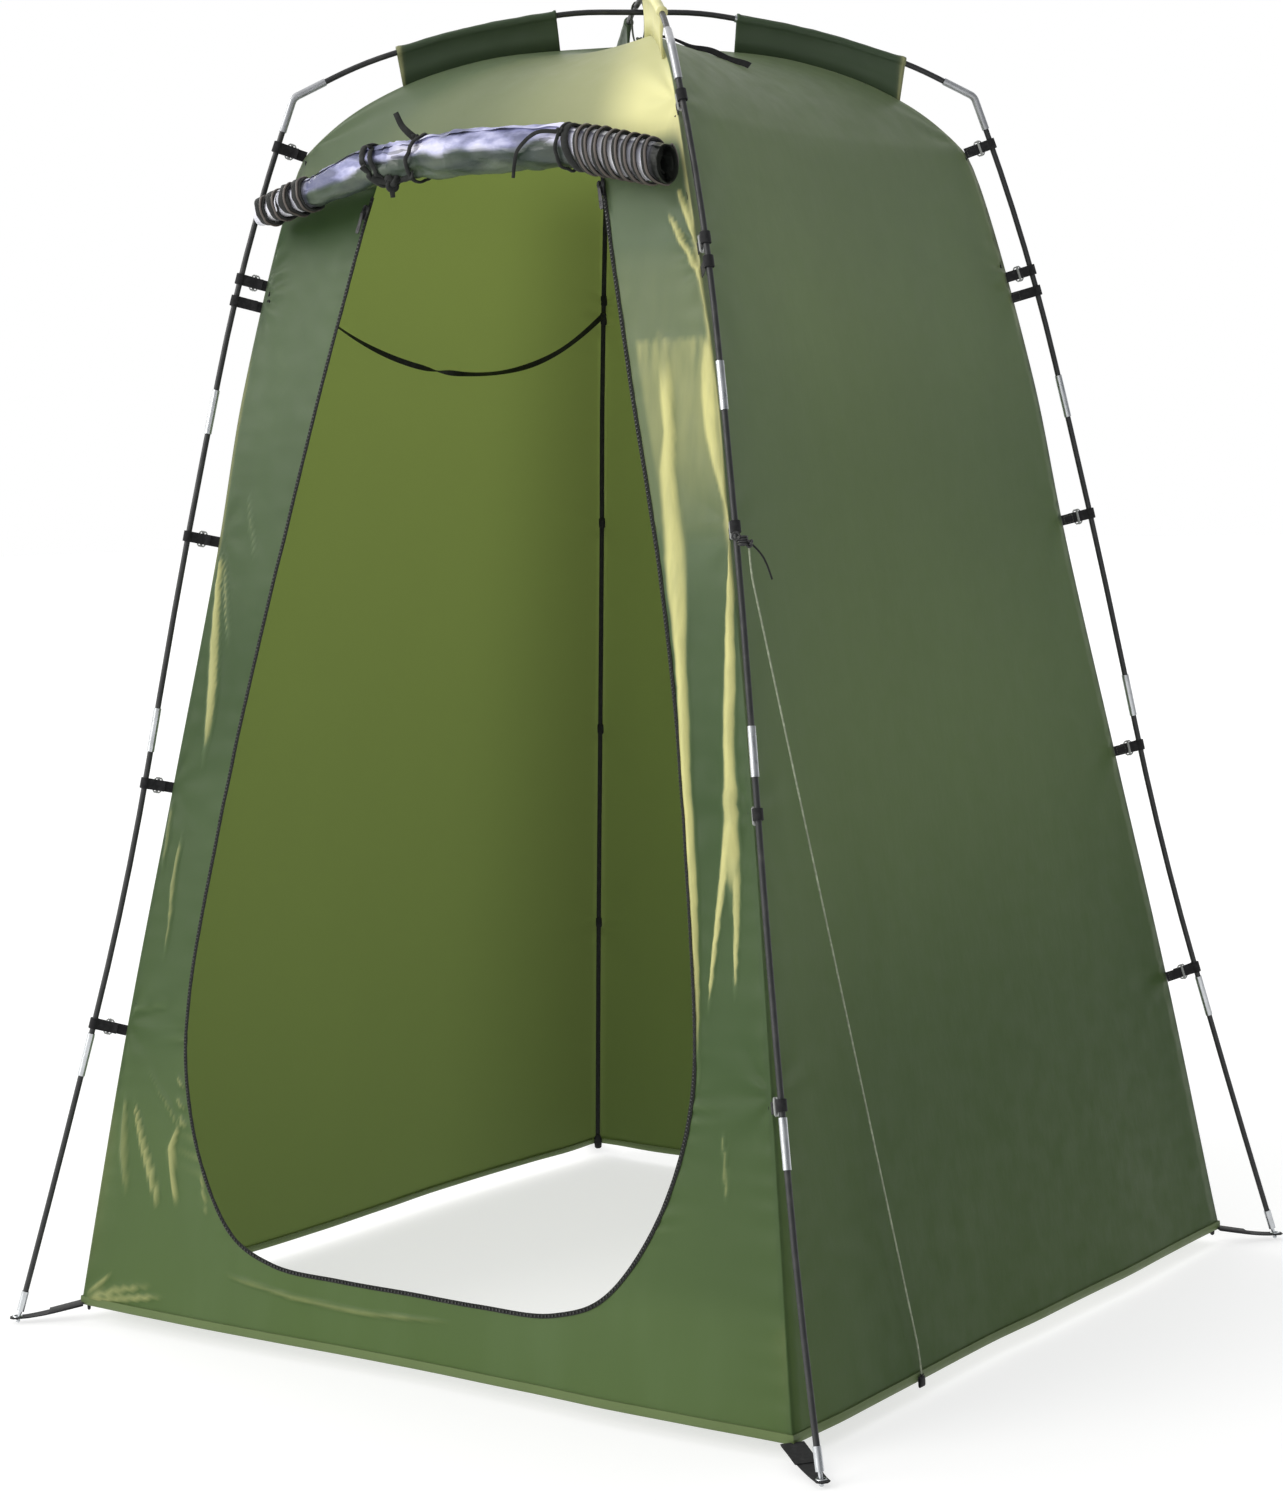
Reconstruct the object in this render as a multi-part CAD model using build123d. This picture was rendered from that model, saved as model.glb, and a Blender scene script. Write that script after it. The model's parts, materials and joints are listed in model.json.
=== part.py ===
from build123d import *
import math
import os

os.makedirs("parts", exist_ok=True)

# A square privacy tent: two crossing hoops of shock-corded rods hold a four-sided fabric
# canopy from outside.  Millimetres, +Z up, origin on the ground under the crown.
# The door wall faces -Y.

# ---------- driving dimensions ----------
CLOTH = 1.5                    # modelled thickness of the canopy cloth
ROD_R = 4.0
ROD_BORE_R = 1.8
CORD_R = 1.3                   # elastic shock cord inside the rods
FERRULE_R = 5.3
FERRULE_BORE_R = 4.1
FERRULE_L = 62.0
ELBOW_ARM = 50.0
ELBOW_BEND_R = 16.0
WEB_W = 15.0                   # black webbing
WEB_T = 1.6
FOOT_PIN_R = 2.6
FOOT_BALL_R = 3.2
FOOT_FLAT = 0.5                # depth of the flat worn on the foot's ball

# Canopy profile along a corner seam: (distance from the axis, height), hem to apex.
PROFILE = [
    (849, 24), (770, 415), (692, 760), (616, 1100), (577, 1300),
    (476, 1636), (420, 1686), (342, 1730), (228, 1767), (0, 1789),
]
SHOULDER_Z = 1636

# Rod hoop: foot to elbow, then elbow to crown, as (distance from the axis, height).
LEG = [(940, 0), (877, 210), (763, 610), (671, 1060), (569, 1500), (491, 1716)]
ROOF = [(395, 1763), (250, 1808), (90, 1835)]
UPPER_LIFT = [2, 6, 9]         # the upper hoop passes over the lower one
LEG_FERRULE_Z = [380, 838, 1282]
ROOF_FERRULE_R = 170           # distance of the roof ferrules from the axis

# Corners counter-clockwise from above, and the walls between them.
CORNERS = {
    "front_left": (-1, -1),
    "front_right": (1, -1),
    "back_right": (1, 1),
    "back_left": (-1, 1),
}
WALLS = {
    "door_wall": ("front_left", "front_right"),
    "right_wall": ("front_right", "back_right"),
    "back_wall": ("back_right", "back_left"),
    "left_wall": ("back_left", "front_left"),
}
# The pitched tent leans a little: sideways shift of a corner at a height.
ROD_LEAN = {
    "front_right": [(0, 19), (210, 9), (610, 4), (1060, -2), (1500, -16), (1716, -40)],
    "back_left": [(0, -20), (1716, -20)],
}
CLOTH_LEAN = {
    "front_right": [(24, 5), (760, 4), (1100, -2), (1300, -8), (1636, -31)],
    "back_left": [(24, -20), (1636, -20)],
}

# Straps that tie the canopy's corner seams to the rods.
STRAP_Z = [424, 763, 1109, 1466, 1648]
PLAIN_STRAP_Z = 1436

# Doorway, measured up the wall: half widths at the heights that shape it.
DOOR_TOP = (194, 1590)
DOOR_STRAIGHT = (340, 1000)
DOOR_CURVE = [(397, 710), (430, 450), (404, 290), (330, 165), (240, 122)]
DOOR_SILL = (120, 116)
ZIP_HEAD_Z = 1575              # the zip track stops here, behind the roll
ZIP_W = 7.0
ZIP_T = 2.4

# Rolled-up door: station along X, radius, centre height; its centre stands off the wall.
ROLL = [(-366, 19, 1553), (-165, 30, 1600), (0, 34, 1606), (175, 31, 1599), (341, 27, 1560)]
ROLL_STAND_OFF = 49
ROLL_TIE_T = 2.0
ROLL_TIES = [(-165, 15), (-118, 8), (172, 10)]
ROLL_ZIP_RIGHT = [192 + 18 * i for i in range(8)]
ROLL_ZIP_LEFT = [-356 + 16 * i for i in range(5)]
DOOR_HEAD = [(196, 1606), (312, 1584)]   # half width and height of its two long edges

# Zip sliders rest just under the roll, on the zip's straight run.
SLIDER_Z = 1545
SLIDER_RUN_Z = 1310            # a lower point of the same run
SLIDER = (13, 5.0, 22)
PULL = (7, 1.8, 30)
PULL_PIN_R = 1.2

# Pole sleeves: distance of their two ends from the axis, and the tunnel's radii.
SLEEVE_START = 105
SLEEVE_END = {"front_left": 343, "front_right": 375, "back_right": 386, "back_left": 375}
TUNNEL_R = 7.2
TUNNEL_BORE_R = 5.7

# Side line from a rod to the right wall's hem, and the slack line between the two left corners.
GUY_KNOT_Z = 1092
GUY_END = Vector(607, -300, 21)
GUY_BALL_R = 5.0
GUY_R = 1.25
LINE_R = 4.0
LINE_POINTS = [
    Vector(-358, -352, 1450), Vector(-357, -294, 1418), Vector(-357, -205, 1378),
    Vector(-354, -102, 1350), Vector(-355, 12, 1339), Vector(-351, 120, 1344),
    Vector(-351, 220, 1366), Vector(-347, 305, 1403), Vector(-346, 364, 1439),
]


# ---------- geometry helpers ----------
def interpolate(table, value):
    """Linear interpolation in [(key, result), ...], clamped at both ends."""
    if value <= table[0][0]:
        return table[0][1]
    for (k0, v0), (k1, v1) in zip(table, table[1:]):
        if value <= k1:
            return v0 + (v1 - v0) * (value - k0) / (k1 - k0)
    return table[-1][1]


def at_corner(corner, r, z, shift=0.0):
    """The point at distance r along a corner's diagonal, moved sideways by shift."""
    ux, uy = (c / math.sqrt(2) for c in CORNERS[corner])
    return Vector(ux * r - uy * shift, uy * r + ux * shift, z)


def rod_vertex(corner, r, z):
    table = ROD_LEAN.get(corner, [(0, 0)])
    elbow_r = LEG[-1][0]
    shift = interpolate(table, z) if r >= elbow_r else table[-1][1] * r / elbow_r
    return at_corner(corner, r, z, shift)


def cloth_vertex(corner, r, z):
    table = CLOTH_LEAN.get(corner, [(0, 0)])
    shoulder_r = interpolate([(z, r) for r, z in PROFILE], SHOULDER_Z)
    shift = interpolate(table, z) if z <= SHOULDER_Z else table[-1][1] * r / shoulder_r
    return at_corner(corner, r, z, shift)


def seam_point(corner, z):
    """The canopy's outer corner at a height below the shoulder."""
    return cloth_vertex(corner, interpolate([(z, r) for r, z in PROFILE], z), z)


def offset_profile(depth):
    """The profile moved inwards by depth, measured square to the walls."""
    points = [(r / math.sqrt(2), z) for r, z in PROFILE]
    normals = []
    for (w0, z0), (w1, z1) in zip(points, points[1:]):
        length = math.hypot(w1 - w0, z1 - z0)
        normals.append(((z0 - z1) / length, (w1 - w0) / length))
    result = [(points[0][0] + depth * normals[0][0] / abs(normals[0][0]), points[0][1])]
    for (w, z), n0, n1 in zip(points[1:-1], normals, normals[1:]):
        mx, mz = n0[0] + n1[0], n0[1] + n1[1]
        scale = depth / ((mx * n0[0] + mz * n0[1]))
        result.append((w + mx * scale, z + mz * scale))
    result.append((0, points[-1][1] + depth / normals[-1][1]))
    return [(w * math.sqrt(2), z) for w, z in result]


def skin(wall, depth):
    """Rows of (left, right) corner points of a wall's surface, moved inwards by depth."""
    rows = []
    for (r, z), (r_in, z_in) in zip(PROFILE, offset_profile(depth)):
        row = []
        for corner in WALLS[wall]:
            outer = cloth_vertex(corner, r, z)
            row.append(outer + at_corner(corner, r_in, z_in) - at_corner(corner, r, z))
        rows.append(row)
    return rows


def facet(*points):
    """Planar faces that fill a polygon; a twisted quadrilateral becomes four triangles."""
    if len(points) == 4:
        a, b, c, d = points
        normal = (b - a).cross(c - a).normalized()
        if abs((d - a).dot(normal)) > 1e-6:
            centre = (a + b + c + d) / 4
            ring = [a, b, c, d, a]
            return [Face(Wire.make_polygon([p, q, centre])) for p, q in zip(ring, ring[1:])]
    return [Face(Wire.make_polygon(points))]


def split_quad(a, b, c, d):
    """Two triangles on the diagonal a-c, the same for both walls that share a mitre."""
    return [Face(Wire.make_polygon([a, b, c])), Face(Wire.make_polygon([a, c, d]))]


def shell(wall, depth_out, depth_in):
    """A closed solid between two offsets of one wall, mitred at its corners."""
    outer, inner = skin(wall, depth_out), skin(wall, depth_in)
    faces = []
    last = len(outer) - 1
    for i in range(last):
        for rows in (outer, inner):
            if i == last - 1:
                faces += facet(rows[i][0], rows[i][1], rows[last][0])
            else:
                faces += facet(rows[i][0], rows[i][1], rows[i + 1][1], rows[i + 1][0])
        for side in (0, 1):
            upper = (outer[i + 1][side], inner[i + 1][side])
            faces += split_quad(outer[i][side], *upper, inner[i][side])
    faces += facet(outer[0][0], outer[0][1], inner[0][1], inner[0][0])
    return Solid(Shell(faces))


def wall_surface(x, z, stand_off=0.0):
    """A point on the door wall's outer surface, or in front of it."""
    left, right = seam_point("front_left", z), seam_point("front_right", z)
    share = (x - left.X) / (right.X - left.X)
    return Vector(x, left.Y + (right.Y - left.Y) * share - stand_off, z)


def bent_path(points, reach=0.8):
    """Straight runs through points, joined by arcs that take up to reach of the half runs."""
    radii = []
    for a, b, c in zip(points, points[1:], points[2:]):
        half_turn = math.radians((b - a).get_angle(c - b)) / 2
        run = min((b - a).length, (c - b).length)
        radii.append(reach * run / math.tan(half_turn))
    return FilletPolyline(*points, radius=radii)


def pipe(path, radius, bore=0.0):
    section = Circle(radius) - Circle(bore) if bore else Circle(radius)
    return sweep(Plane(path @ 0, z_dir=path % 0) * section, path=path)


def on_path(path, z):
    """Where a path that climbs steadily passes a height: (point, direction)."""
    low, high = 0.0, 1.0
    climbs = (path @ 1).Z > (path @ 0).Z
    for _ in range(40):
        middle = (low + high) / 2
        below = (path @ middle).Z < z
        low, high = (middle, high) if below == climbs else (low, middle)
    return path @ low, path % low


def tube_between(a, b, radius, bore=0.0):
    axis = b - a
    body = Cylinder(radius, axis.length, align=(Align.CENTER, Align.CENTER, Align.MIN))
    if bore:
        body -= Cylinder(bore, axis.length, align=(Align.CENTER, Align.CENTER, Align.MIN))
    return Plane(a, z_dir=axis) * body


def write(name, solids):
    shape = solids[0] if len(solids) == 1 else Compound(children=solids)
    export_step(shape, f"parts/{name}.step")


# ---------- rod hoops ----------
def leg_vertices(corner):
    return [rod_vertex(corner, r, z) for r, z in LEG]


def roof_vertices(corner, lift):
    return [rod_vertex(corner, r, z + up) for (r, z), up in zip(ROOF, lift)]


def leg_ferrule_centres(corner):
    points = leg_vertices(corner)
    centres = []
    for z, a, b in zip(LEG_FERRULE_Z, points[1:], points[2:]):
        centres.append(a + (b - a) * ((z - a.Z) / (b.Z - a.Z)))
    return centres


def leg_rod_paths(corner):
    """Centrelines of a leg's four rods, foot to elbow."""
    points = leg_vertices(corner)
    ferrules = leg_ferrule_centres(corner)
    start = points[0] + (points[1] - points[0]).normalized() * 25
    elbow_gap = (points[4] - points[5]).normalized() * (ELBOW_BEND_R * 0.6 + 1)
    ends = [start, *ferrules, points[5] + elbow_gap]
    return [bent_path([a, v, b]) for a, v, b in zip(ends, points[1:], ends[1:])]


def roof_ferrule_centre(corner, lift):
    points = roof_vertices(corner, lift)
    outer_r, inner_r = ROOF[1][0], ROOF[2][0]
    share = (outer_r - ROOF_FERRULE_R) / (outer_r - inner_r)
    return points[1] + (points[2] - points[1]) * share


def roof_rod_paths(near, far, lift):
    """Centrelines of the three rods over the roof, from one elbow to the other."""
    paths = []
    for corner in (near, far):
        elbow = rod_vertex(corner, *LEG[-1])
        first, second, _ = roof_vertices(corner, lift)
        start = elbow + (first - elbow).normalized() * (ELBOW_BEND_R * 0.6 + 1)
        ferrule = roof_ferrule_centre(corner, lift)
        paths.append(bent_path([start, first, second, ferrule], 0.45))
    middle = [
        roof_ferrule_centre(near, lift),
        roof_vertices(near, lift)[2],
        roof_vertices(far, lift)[2],
        roof_ferrule_centre(far, lift),
    ]
    paths.insert(1, bent_path(middle, 0.45))
    return paths


def hoop_path(near, far, lift):
    """The shock cord's line, through every rod from foot to foot."""
    near_leg, far_leg = leg_rod_paths(near), leg_rod_paths(far)
    roof = roof_rod_paths(near, far, lift)
    bends = []
    for corner, leg, start in ((near, near_leg, roof[0]), (far, far_leg, roof[2])):
        bend = rod_vertex(corner, *LEG[-1])
        bends.append(FilletPolyline(leg[-1] @ 1, bend, start @ 0, radius=ELBOW_BEND_R))
    return Wire([edge for path in [*near_leg, *roof, *bends, *far_leg] for edge in path.edges()])


def ferrule(centre, direction):
    half = direction.normalized() * FERRULE_L / 2
    return tube_between(centre - half, centre + half, FERRULE_R, FERRULE_BORE_R)


def elbow_tube(corner, lift):
    """A bent metal tube that takes the leg's top rod and the roof's first rod."""
    bend = rod_vertex(corner, *LEG[-1])
    down = (leg_vertices(corner)[4] - bend).normalized() * ELBOW_ARM
    inward = (roof_vertices(corner, lift)[0] - bend).normalized() * ELBOW_ARM
    path = FilletPolyline(bend + down, bend, bend + inward, radius=ELBOW_BEND_R)
    return pipe(path, FERRULE_R, FERRULE_BORE_R)


def foot_tip(corner):
    """Metal cap on the lowest rod, with a ball-ended pin that stands on the ground."""
    foot, above = leg_vertices(corner)[:2]
    axis = (above - foot).normalized()
    ball = foot + axis * ((FOOT_BALL_R - FOOT_FLAT) / axis.Z)
    pin = tube_between(ball, foot + axis * 18, FOOT_PIN_R)
    cap = tube_between(foot + axis * 17, foot + axis * 46, FERRULE_R)
    socket = tube_between(foot + axis * 24, foot + axis * 47, FERRULE_BORE_R)
    ground = Pos(foot - Vector(0, 0, 5)) * Box(20, 20, 10)
    return Pos(ball) * Sphere(FOOT_BALL_R) + pin + cap - socket - ground


HOOPS = {
    "lower": ("front_left", "back_right", [0, 0, 0]),
    "upper": ("front_right", "back_left", UPPER_LIFT),
}


def write_hoops():
    elbows, ferrules, roof_ferrules = [], [], []
    for name, (near, far, lift) in HOOPS.items():
        rods = [pipe(path, ROD_R, ROD_BORE_R) for path in roof_rod_paths(near, far, lift)]
        write(f"roof_rods_{name}", rods)
        write(f"shock_cord_{name}", [pipe(hoop_path(near, far, lift), CORD_R)])
        for corner in (near, far):
            elbows.append(elbow_tube(corner, lift))
            points = roof_vertices(corner, lift)
            roof_ferrules.append(ferrule(roof_ferrule_centre(corner, lift), points[2] - points[1]))
    for corner in CORNERS:
        write(f"leg_rods_{corner}", [pipe(path, ROD_R, ROD_BORE_R) for path in leg_rod_paths(corner)])
        points = leg_vertices(corner)
        for centre, a, b in zip(leg_ferrule_centres(corner), points[1:], points[2:]):
            ferrules.append(ferrule(centre, b - a))
    write("leg_ferrules", ferrules)
    write("roof_ferrules", roof_ferrules)
    write("elbows", elbows)
    write("foot_tips", [foot_tip(corner) for corner in CORNERS])


# ---------- canopy ----------
def doorway_outline(grow=0.0):
    """The doorway seen square on, as a closed face in the XZ plane, enlarged by grow."""
    half = [DOOR_TOP, DOOR_STRAIGHT, *DOOR_CURVE, DOOR_SILL]
    before = [half[0], half[0], *half[1:-2], DOOR_SILL]
    after = [half[1], half[1], *half[3:], (0, DOOR_SILL[1])]
    grown = []
    for (x, z), (x0, z0), (x1, z1) in zip(half, before, after):
        length = math.hypot(x1 - x0, z1 - z0)
        grown.append((x - grow * (z1 - z0) / length, z + grow * (x1 - x0) / length))
    (top_x, top_z), (straight_x, straight_z), *_ = grown
    edges = []
    for side in (1, -1):
        points = [(side * x, z) for x, z in grown]
        down = (side * (straight_x - top_x), straight_z - top_z)
        edges.append(Line(points[0], points[1]))
        edges.append(Spline(points[1:], tangents=[down, (-side, 0)]))
    edges.append(Line(grown[-1], (-grown[-1][0], grown[-1][1])))
    edges.append(Line((-top_x, top_z), (top_x, top_z)))
    return make_face(Curve() + edges)


def front_prism(face):
    """A face in the XZ plane pushed through the door wall."""
    return Pos(0, -300, 0) * (Plane.XZ * extrude(face, 320))


def door_wall():
    return shell("door_wall", 0, CLOTH) - front_prism(doorway_outline())


def zip_track():
    """Zip tape and teeth round the doorway's sides and sill, just clear of the cloth."""
    ring = front_prism(doorway_outline(ZIP_W / 2)) - front_prism(doorway_outline(-ZIP_W / 2))
    head = Pos(0, -450, ZIP_HEAD_Z + 100) * Box(900, 400, 200)
    return (shell("door_wall", -0.1 - ZIP_T, -0.1) & ring) - head


def hem_binding(wall):
    """Folded tape that closes a wall's lower edge."""
    height, spread = 9.0, 0.8
    outer, inner = skin(wall, -spread)[0], skin(wall, CLOTH + spread)[0]
    drop = Vector(0, 0, -height)
    top = [outer[0], outer[1], inner[1], inner[0]]
    low = [p + drop for p in top]
    faces = facet(*top) + facet(*low)
    for i in range(4):
        j = (i + 1) % 4
        faces += facet(top[i], top[j], low[j], low[i])
    return Solid(Shell(faces))


def seam_tape(corner):
    """Black three-sided tape down a corner seam inside, hem to just below the shoulder."""
    ridge, flat, half_width, short = 1.2, 8.0, 5.0, 8.0
    rows = []
    for (r, z), (r_in, z_in) in zip(PROFILE, offset_profile(CLOTH)):
        if z > SHOULDER_Z:
            break
        shift = interpolate(CLOTH_LEAN.get(corner, [(0, 0)]), z)
        if z == SHOULDER_Z:
            r_in, z_in = r_in - short / 3, z_in - short
        rows.append([
            at_corner(corner, r_in - ridge, z_in, shift),
            at_corner(corner, r_in - flat, z_in, shift + half_width),
            at_corner(corner, r_in - flat, z_in, shift - half_width),
        ])
    faces = facet(*rows[0]) + facet(*rows[-1])
    for low, high in zip(rows, rows[1:]):
        for i in range(3):
            j = (i + 1) % 3
            faces += split_quad(low[i], low[j], high[j], high[i])
    return Solid(Shell(faces))


def along_table(table, low, high):
    """Sorted (key, result) pairs between two keys, with both ends interpolated."""
    inside = [(key, value) for key, value in table if low < key < high]
    return [(low, interpolate(table, low)), *inside, (high, interpolate(table, high))]


def sleeve(corner, lift):
    """A fin of cloth that stands on a roof seam, with a tunnel for the rod at its top."""
    elbow = rod_vertex(corner, *LEG[-1])
    points = roof_vertices(corner, lift)
    path = bent_path([elbow, *points, Vector(0, 0, points[2].Z)], 0.45)
    across = Vector(elbow.Y, -elbow.X, 0)
    plane = Plane((0, 0, 0), x_dir=Vector(elbow.X, elbow.Y, 0), z_dir=across)
    end = SLEEVE_END[corner]
    seam = along_table(sorted(PROFILE), SLEEVE_START, end)
    rods = sorted((math.hypot(p.X, p.Y), p.Z) for p in [elbow, *points])
    outline = [(r, z + 2.5) for r, z in seam]
    outline += [(r, z - 1.5) for r, z in reversed(along_table(rods, SLEEVE_START, end))]
    fin = plane * extrude(make_face(Polyline(*outline, close=True)), CLOTH / 2, both=True)
    middle, length = (SLEEVE_START + end) / 2, end - SLEEVE_START
    tunnel = pipe(path, TUNNEL_R) & plane * Pos(middle, 1800) * Box(length, 200, 60)
    return fin + tunnel - pipe(path, TUNNEL_BORE_R)


def write_canopy():
    for wall in WALLS:
        write(wall, [door_wall() if wall == "door_wall" else shell(wall, 0, CLOTH)])
    write("door_zip_track", [zip_track()])
    write("hem_binding", [hem_binding(wall) for wall in WALLS])
    write("corner_seam_tapes", [seam_tape(corner) for corner in CORNERS])
    for near, far, lift in HOOPS.values():
        for corner in (near, far):
            write(f"pole_sleeve_{corner}", [sleeve(corner, lift)])


# ---------- straps, buckles and foot webbing ----------
def strap_frame(corner, z):
    """Plane at a strap on the rod, X towards the seam, Z along the rod, and its reach."""
    paths = leg_rod_paths(corner)
    heights = [path for path in paths if (path @ 0).Z <= z <= (path @ 1).Z]
    point, along = on_path(heights[0], z)
    low, high = z - 60, z + 60
    for _ in range(40):
        middle = (low + high) / 2
        if (seam_point(corner, min(middle, SHOULDER_Z)) - point).dot(along) < 0:
            low = middle
        else:
            high = middle
    target = seam_point(corner, min(low, SHOULDER_Z))
    inward = target - point
    inward = inward - along * inward.dot(along)
    return Plane(point, x_dir=inward, z_dir=along), inward.length


def strap(corner, z):
    """Webbing looped round the rod, with its tail reaching the seam."""
    plane, reach = strap_frame(corner, z)
    loop_bore, loop_r, seam_gap = 4.5, 6.1, 0.9
    length = reach - seam_gap - loop_bore
    tab = Pos(loop_bore + length / 2, 0, 0) * Box(length, WEB_T, WEB_W)
    return plane * (Cylinder(loop_r, WEB_W) + tab - Cylinder(loop_bore, WEB_W))


def buckle(corner, z):
    """A bar buckle threaded on the strap, clear of the webbing."""
    plane, reach = strap_frame(corner, z)
    body = Box(5, 5.2, WEB_W + 5) - Box(5, WEB_T + 0.8, WEB_W + 0.8)
    return plane * Pos(reach * 0.45, 0, 0) * body


def foot_strap(corner):
    """Webbing from the hem's corner to an eyelet round the foot pin."""
    foot, above = leg_vertices(corner)[:2]
    axis = (above - foot).normalized()
    pin = foot + axis * (7 / axis.Z)
    hem = seam_point(corner, PROFILE[0][1])
    outward = Vector(pin.X - hem.X, pin.Y - hem.Y, 0)
    length, away = outward.length, outward.normalized()
    start_z, end_z, half_width, level = 20.0, 6.2, 10.0, length - 14
    plane = Plane((hem.X, hem.Y, 0), x_dir=away, z_dir=Vector(away.Y, -away.X, 0))
    under = [(3, start_z), (level, end_z), (length + 11, end_z)]
    side = under + [(x, z + WEB_T) for x, z in reversed(under)]
    band = plane * extrude(make_face(Polyline(*side, close=True)), half_width, both=True)
    return band - tube_between(foot, foot + axis * 30, FOOT_PIN_R + 0.7)


def write_straps():
    for corner in CORNERS:
        write(f"rod_straps_{corner}", [strap(corner, z) for z in STRAP_Z + [PLAIN_STRAP_Z]])
        write(f"strap_buckles_{corner}", [buckle(corner, z) for z in STRAP_Z])
    write("foot_straps", [foot_strap(corner) for corner in CORNERS])


# ---------- crown ----------
def write_crown():
    """A tape bridge from the apex over the crossed rods, and a loose tail on the roof."""
    leg_x, tape, width, top_z = 10.0, 1.2, 3.2, 1850.5
    base_z = PROFILE[-1][1] + 1.2
    height = top_z - base_z
    bridge = Box(2 * leg_x + tape, width, height)
    bridge -= Box(2 * leg_x - tape, 2 * width, height - 2 * tape)
    write("crown_tie", [Pos(0, 0, base_z + height / 2) * bridge])
    start, end = Vector(172, -148, 1768.5), Vector(236, -84, 1738.5)
    along = end - start
    roof_normal = Vector(0.36, 0, 1)
    plane = Plane((start + end) / 2, x_dir=along, z_dir=along.cross(roof_normal.cross(along)))
    write("roof_webbing_tail", [plane * Box(along.length, 9, WEB_T)])


# ---------- door ----------
def roll_solid(grow=0.0):
    """The rolled door as cones between round stations, enlarged by grow."""
    sections = []
    for x, r, z in ROLL:
        centre = wall_surface(x, z, ROLL_STAND_OFF)
        sections.append(Plane(centre, x_dir=(0, 1, 0), z_dir=(1, 0, 0)) * Circle(r + grow))
    return loft(sections, ruled=True)


def roll_band(x, width, clear=0.3):
    """A ring round the roll at a station."""
    centre = wall_surface(x, interpolate([(x, z) for x, _, z in ROLL], x), ROLL_STAND_OFF)
    slab = Pos(centre) * Box(width, 200, 200)
    return (roll_solid(clear + ROLL_TIE_T) & slab) - roll_solid(clear)


def door_head():
    """The short stretch of door between the wall and the roll; it lengthens as the roll drops."""
    (top_half, top_z), (low_half, low_z) = DOOR_HEAD
    corners = [(-low_half, low_z), (low_half, low_z), (top_half, top_z), (-top_half, top_z)]
    back = [wall_surface(x, z, ZIP_T + 2.2) for x, z in corners]
    front = [point - Vector(0, CLOTH, 0) for point in back]
    faces = split_quad(*back) + split_quad(*front)
    for i in range(4):
        j = (i + 1) % 4
        faces += facet(back[i], back[j], front[j], front[i])
    return Solid(Shell(faces))


def slider_plane(side):
    """Plane on the track at the slider, Y up along the track, Z out of the wall."""
    run = (DOOR_STRAIGHT[0] - DOOR_TOP[0]) / (DOOR_TOP[1] - DOOR_STRAIGHT[1])
    points = []
    for z in (SLIDER_Z, SLIDER_RUN_Z):
        x = side * (DOOR_TOP[0] + run * (DOOR_TOP[1] - z))
        points.append(wall_surface(x, z, ZIP_T + 1.8))
    up = (points[0] - points[1]).normalized()
    across = Vector(1, 0, 0) - up * up.X
    return Plane(points[0], x_dir=across, z_dir=across.cross(up))


def zip_slider(side):
    """Slider body that rides on the zip track."""
    return slider_plane(side) * Pos(0, 0, SLIDER[1] / 2) * Box(SLIDER[0], SLIDER[2], SLIDER[1])


def zip_pull(side):
    """Tab that hangs down the slider's face from the pin across its upper edge."""
    width, thick, length = PULL
    tab = Pos(0, -length / 2, 0) * Box(width, length, thick)
    pin = Rot(0, 90, 0) * Cylinder(PULL_PIN_R, width)
    return slider_plane(side) * Pos(0, 0, SLIDER[1] + 0.4 + thick / 2) * (tab + pin)


def write_door():
    write("door_roll", [roll_solid()])
    write("roll_ties", [roll_band(x, width) for x, width in ROLL_TIES])
    write("roll_zip_coils_right", [roll_band(x, 9) for x in ROLL_ZIP_RIGHT])
    write("roll_zip_coils_left", [roll_band(x, 8) for x in ROLL_ZIP_LEFT])
    write("door_head", [door_head()])
    for side, name in ((-1, "left"), (1, "right")):
        write(f"zip_slider_{name}", [zip_slider(side)])
        write(f"zip_pull_{name}", [zip_pull(side)])


# ---------- side line and inside line ----------
GUY_TOP = rod_vertex("front_right", interpolate([(z, r) for r, z in LEG], GUY_KNOT_Z), GUY_KNOT_Z)
GUY_POINTS = [
    GUY_TOP + Vector(11, 1, -3),
    GUY_TOP + Vector(15, 8, -36),
    GUY_END + Vector(-1, -4, 40),
    GUY_END + Vector(0, 0, 7),
]
TAIL_POINTS = [
    GUY_TOP + Vector(10.5, 5.5, -3),
    GUY_TOP + Vector(16, 17, -14),
    GUY_TOP + Vector(19, 27, -30),
    GUY_TOP + Vector(20, 33, -50),
]


def cord(name, points):
    """A free cord's centreline: straight runs and the largest arcs they allow."""
    path = bent_path(points, 0.45)
    print(name, "length", round(path.length), "mm")
    return path


def write_lines():
    plane, _ = strap_frame("front_right", GUY_KNOT_Z)
    collar = plane * Cylinder(7.0, 11)
    ball = Pos(GUY_TOP + Vector(8.2, 2.6, 0)) * Sphere(GUY_BALL_R)
    write("guy_knot", [collar + ball - plane * Cylinder(ROD_R + 0.4, 60)])
    write("guy_cord", [pipe(cord("guy_cord", GUY_POINTS), GUY_R)])
    write("guy_tail", [pipe(cord("guy_tail", TAIL_POINTS), GUY_R)])
    write("guy_hem_loop", [Pos(GUY_END) * Box(4, 14, 14)])
    write("inside_line", [pipe(cord("inside_line", LINE_POINTS), LINE_R)])
    anchors = []
    for point, neighbour in (LINE_POINTS[:2], LINE_POINTS[:-3:-1]):
        away = (point - neighbour).normalized()
        anchors.append(tube_between(point, point + away * 9, 6))
    write("line_anchors", anchors)


write_hoops()
write_canopy()
write_straps()
write_crown()
write_door()
write_lines()
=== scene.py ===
import json
import math

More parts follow.
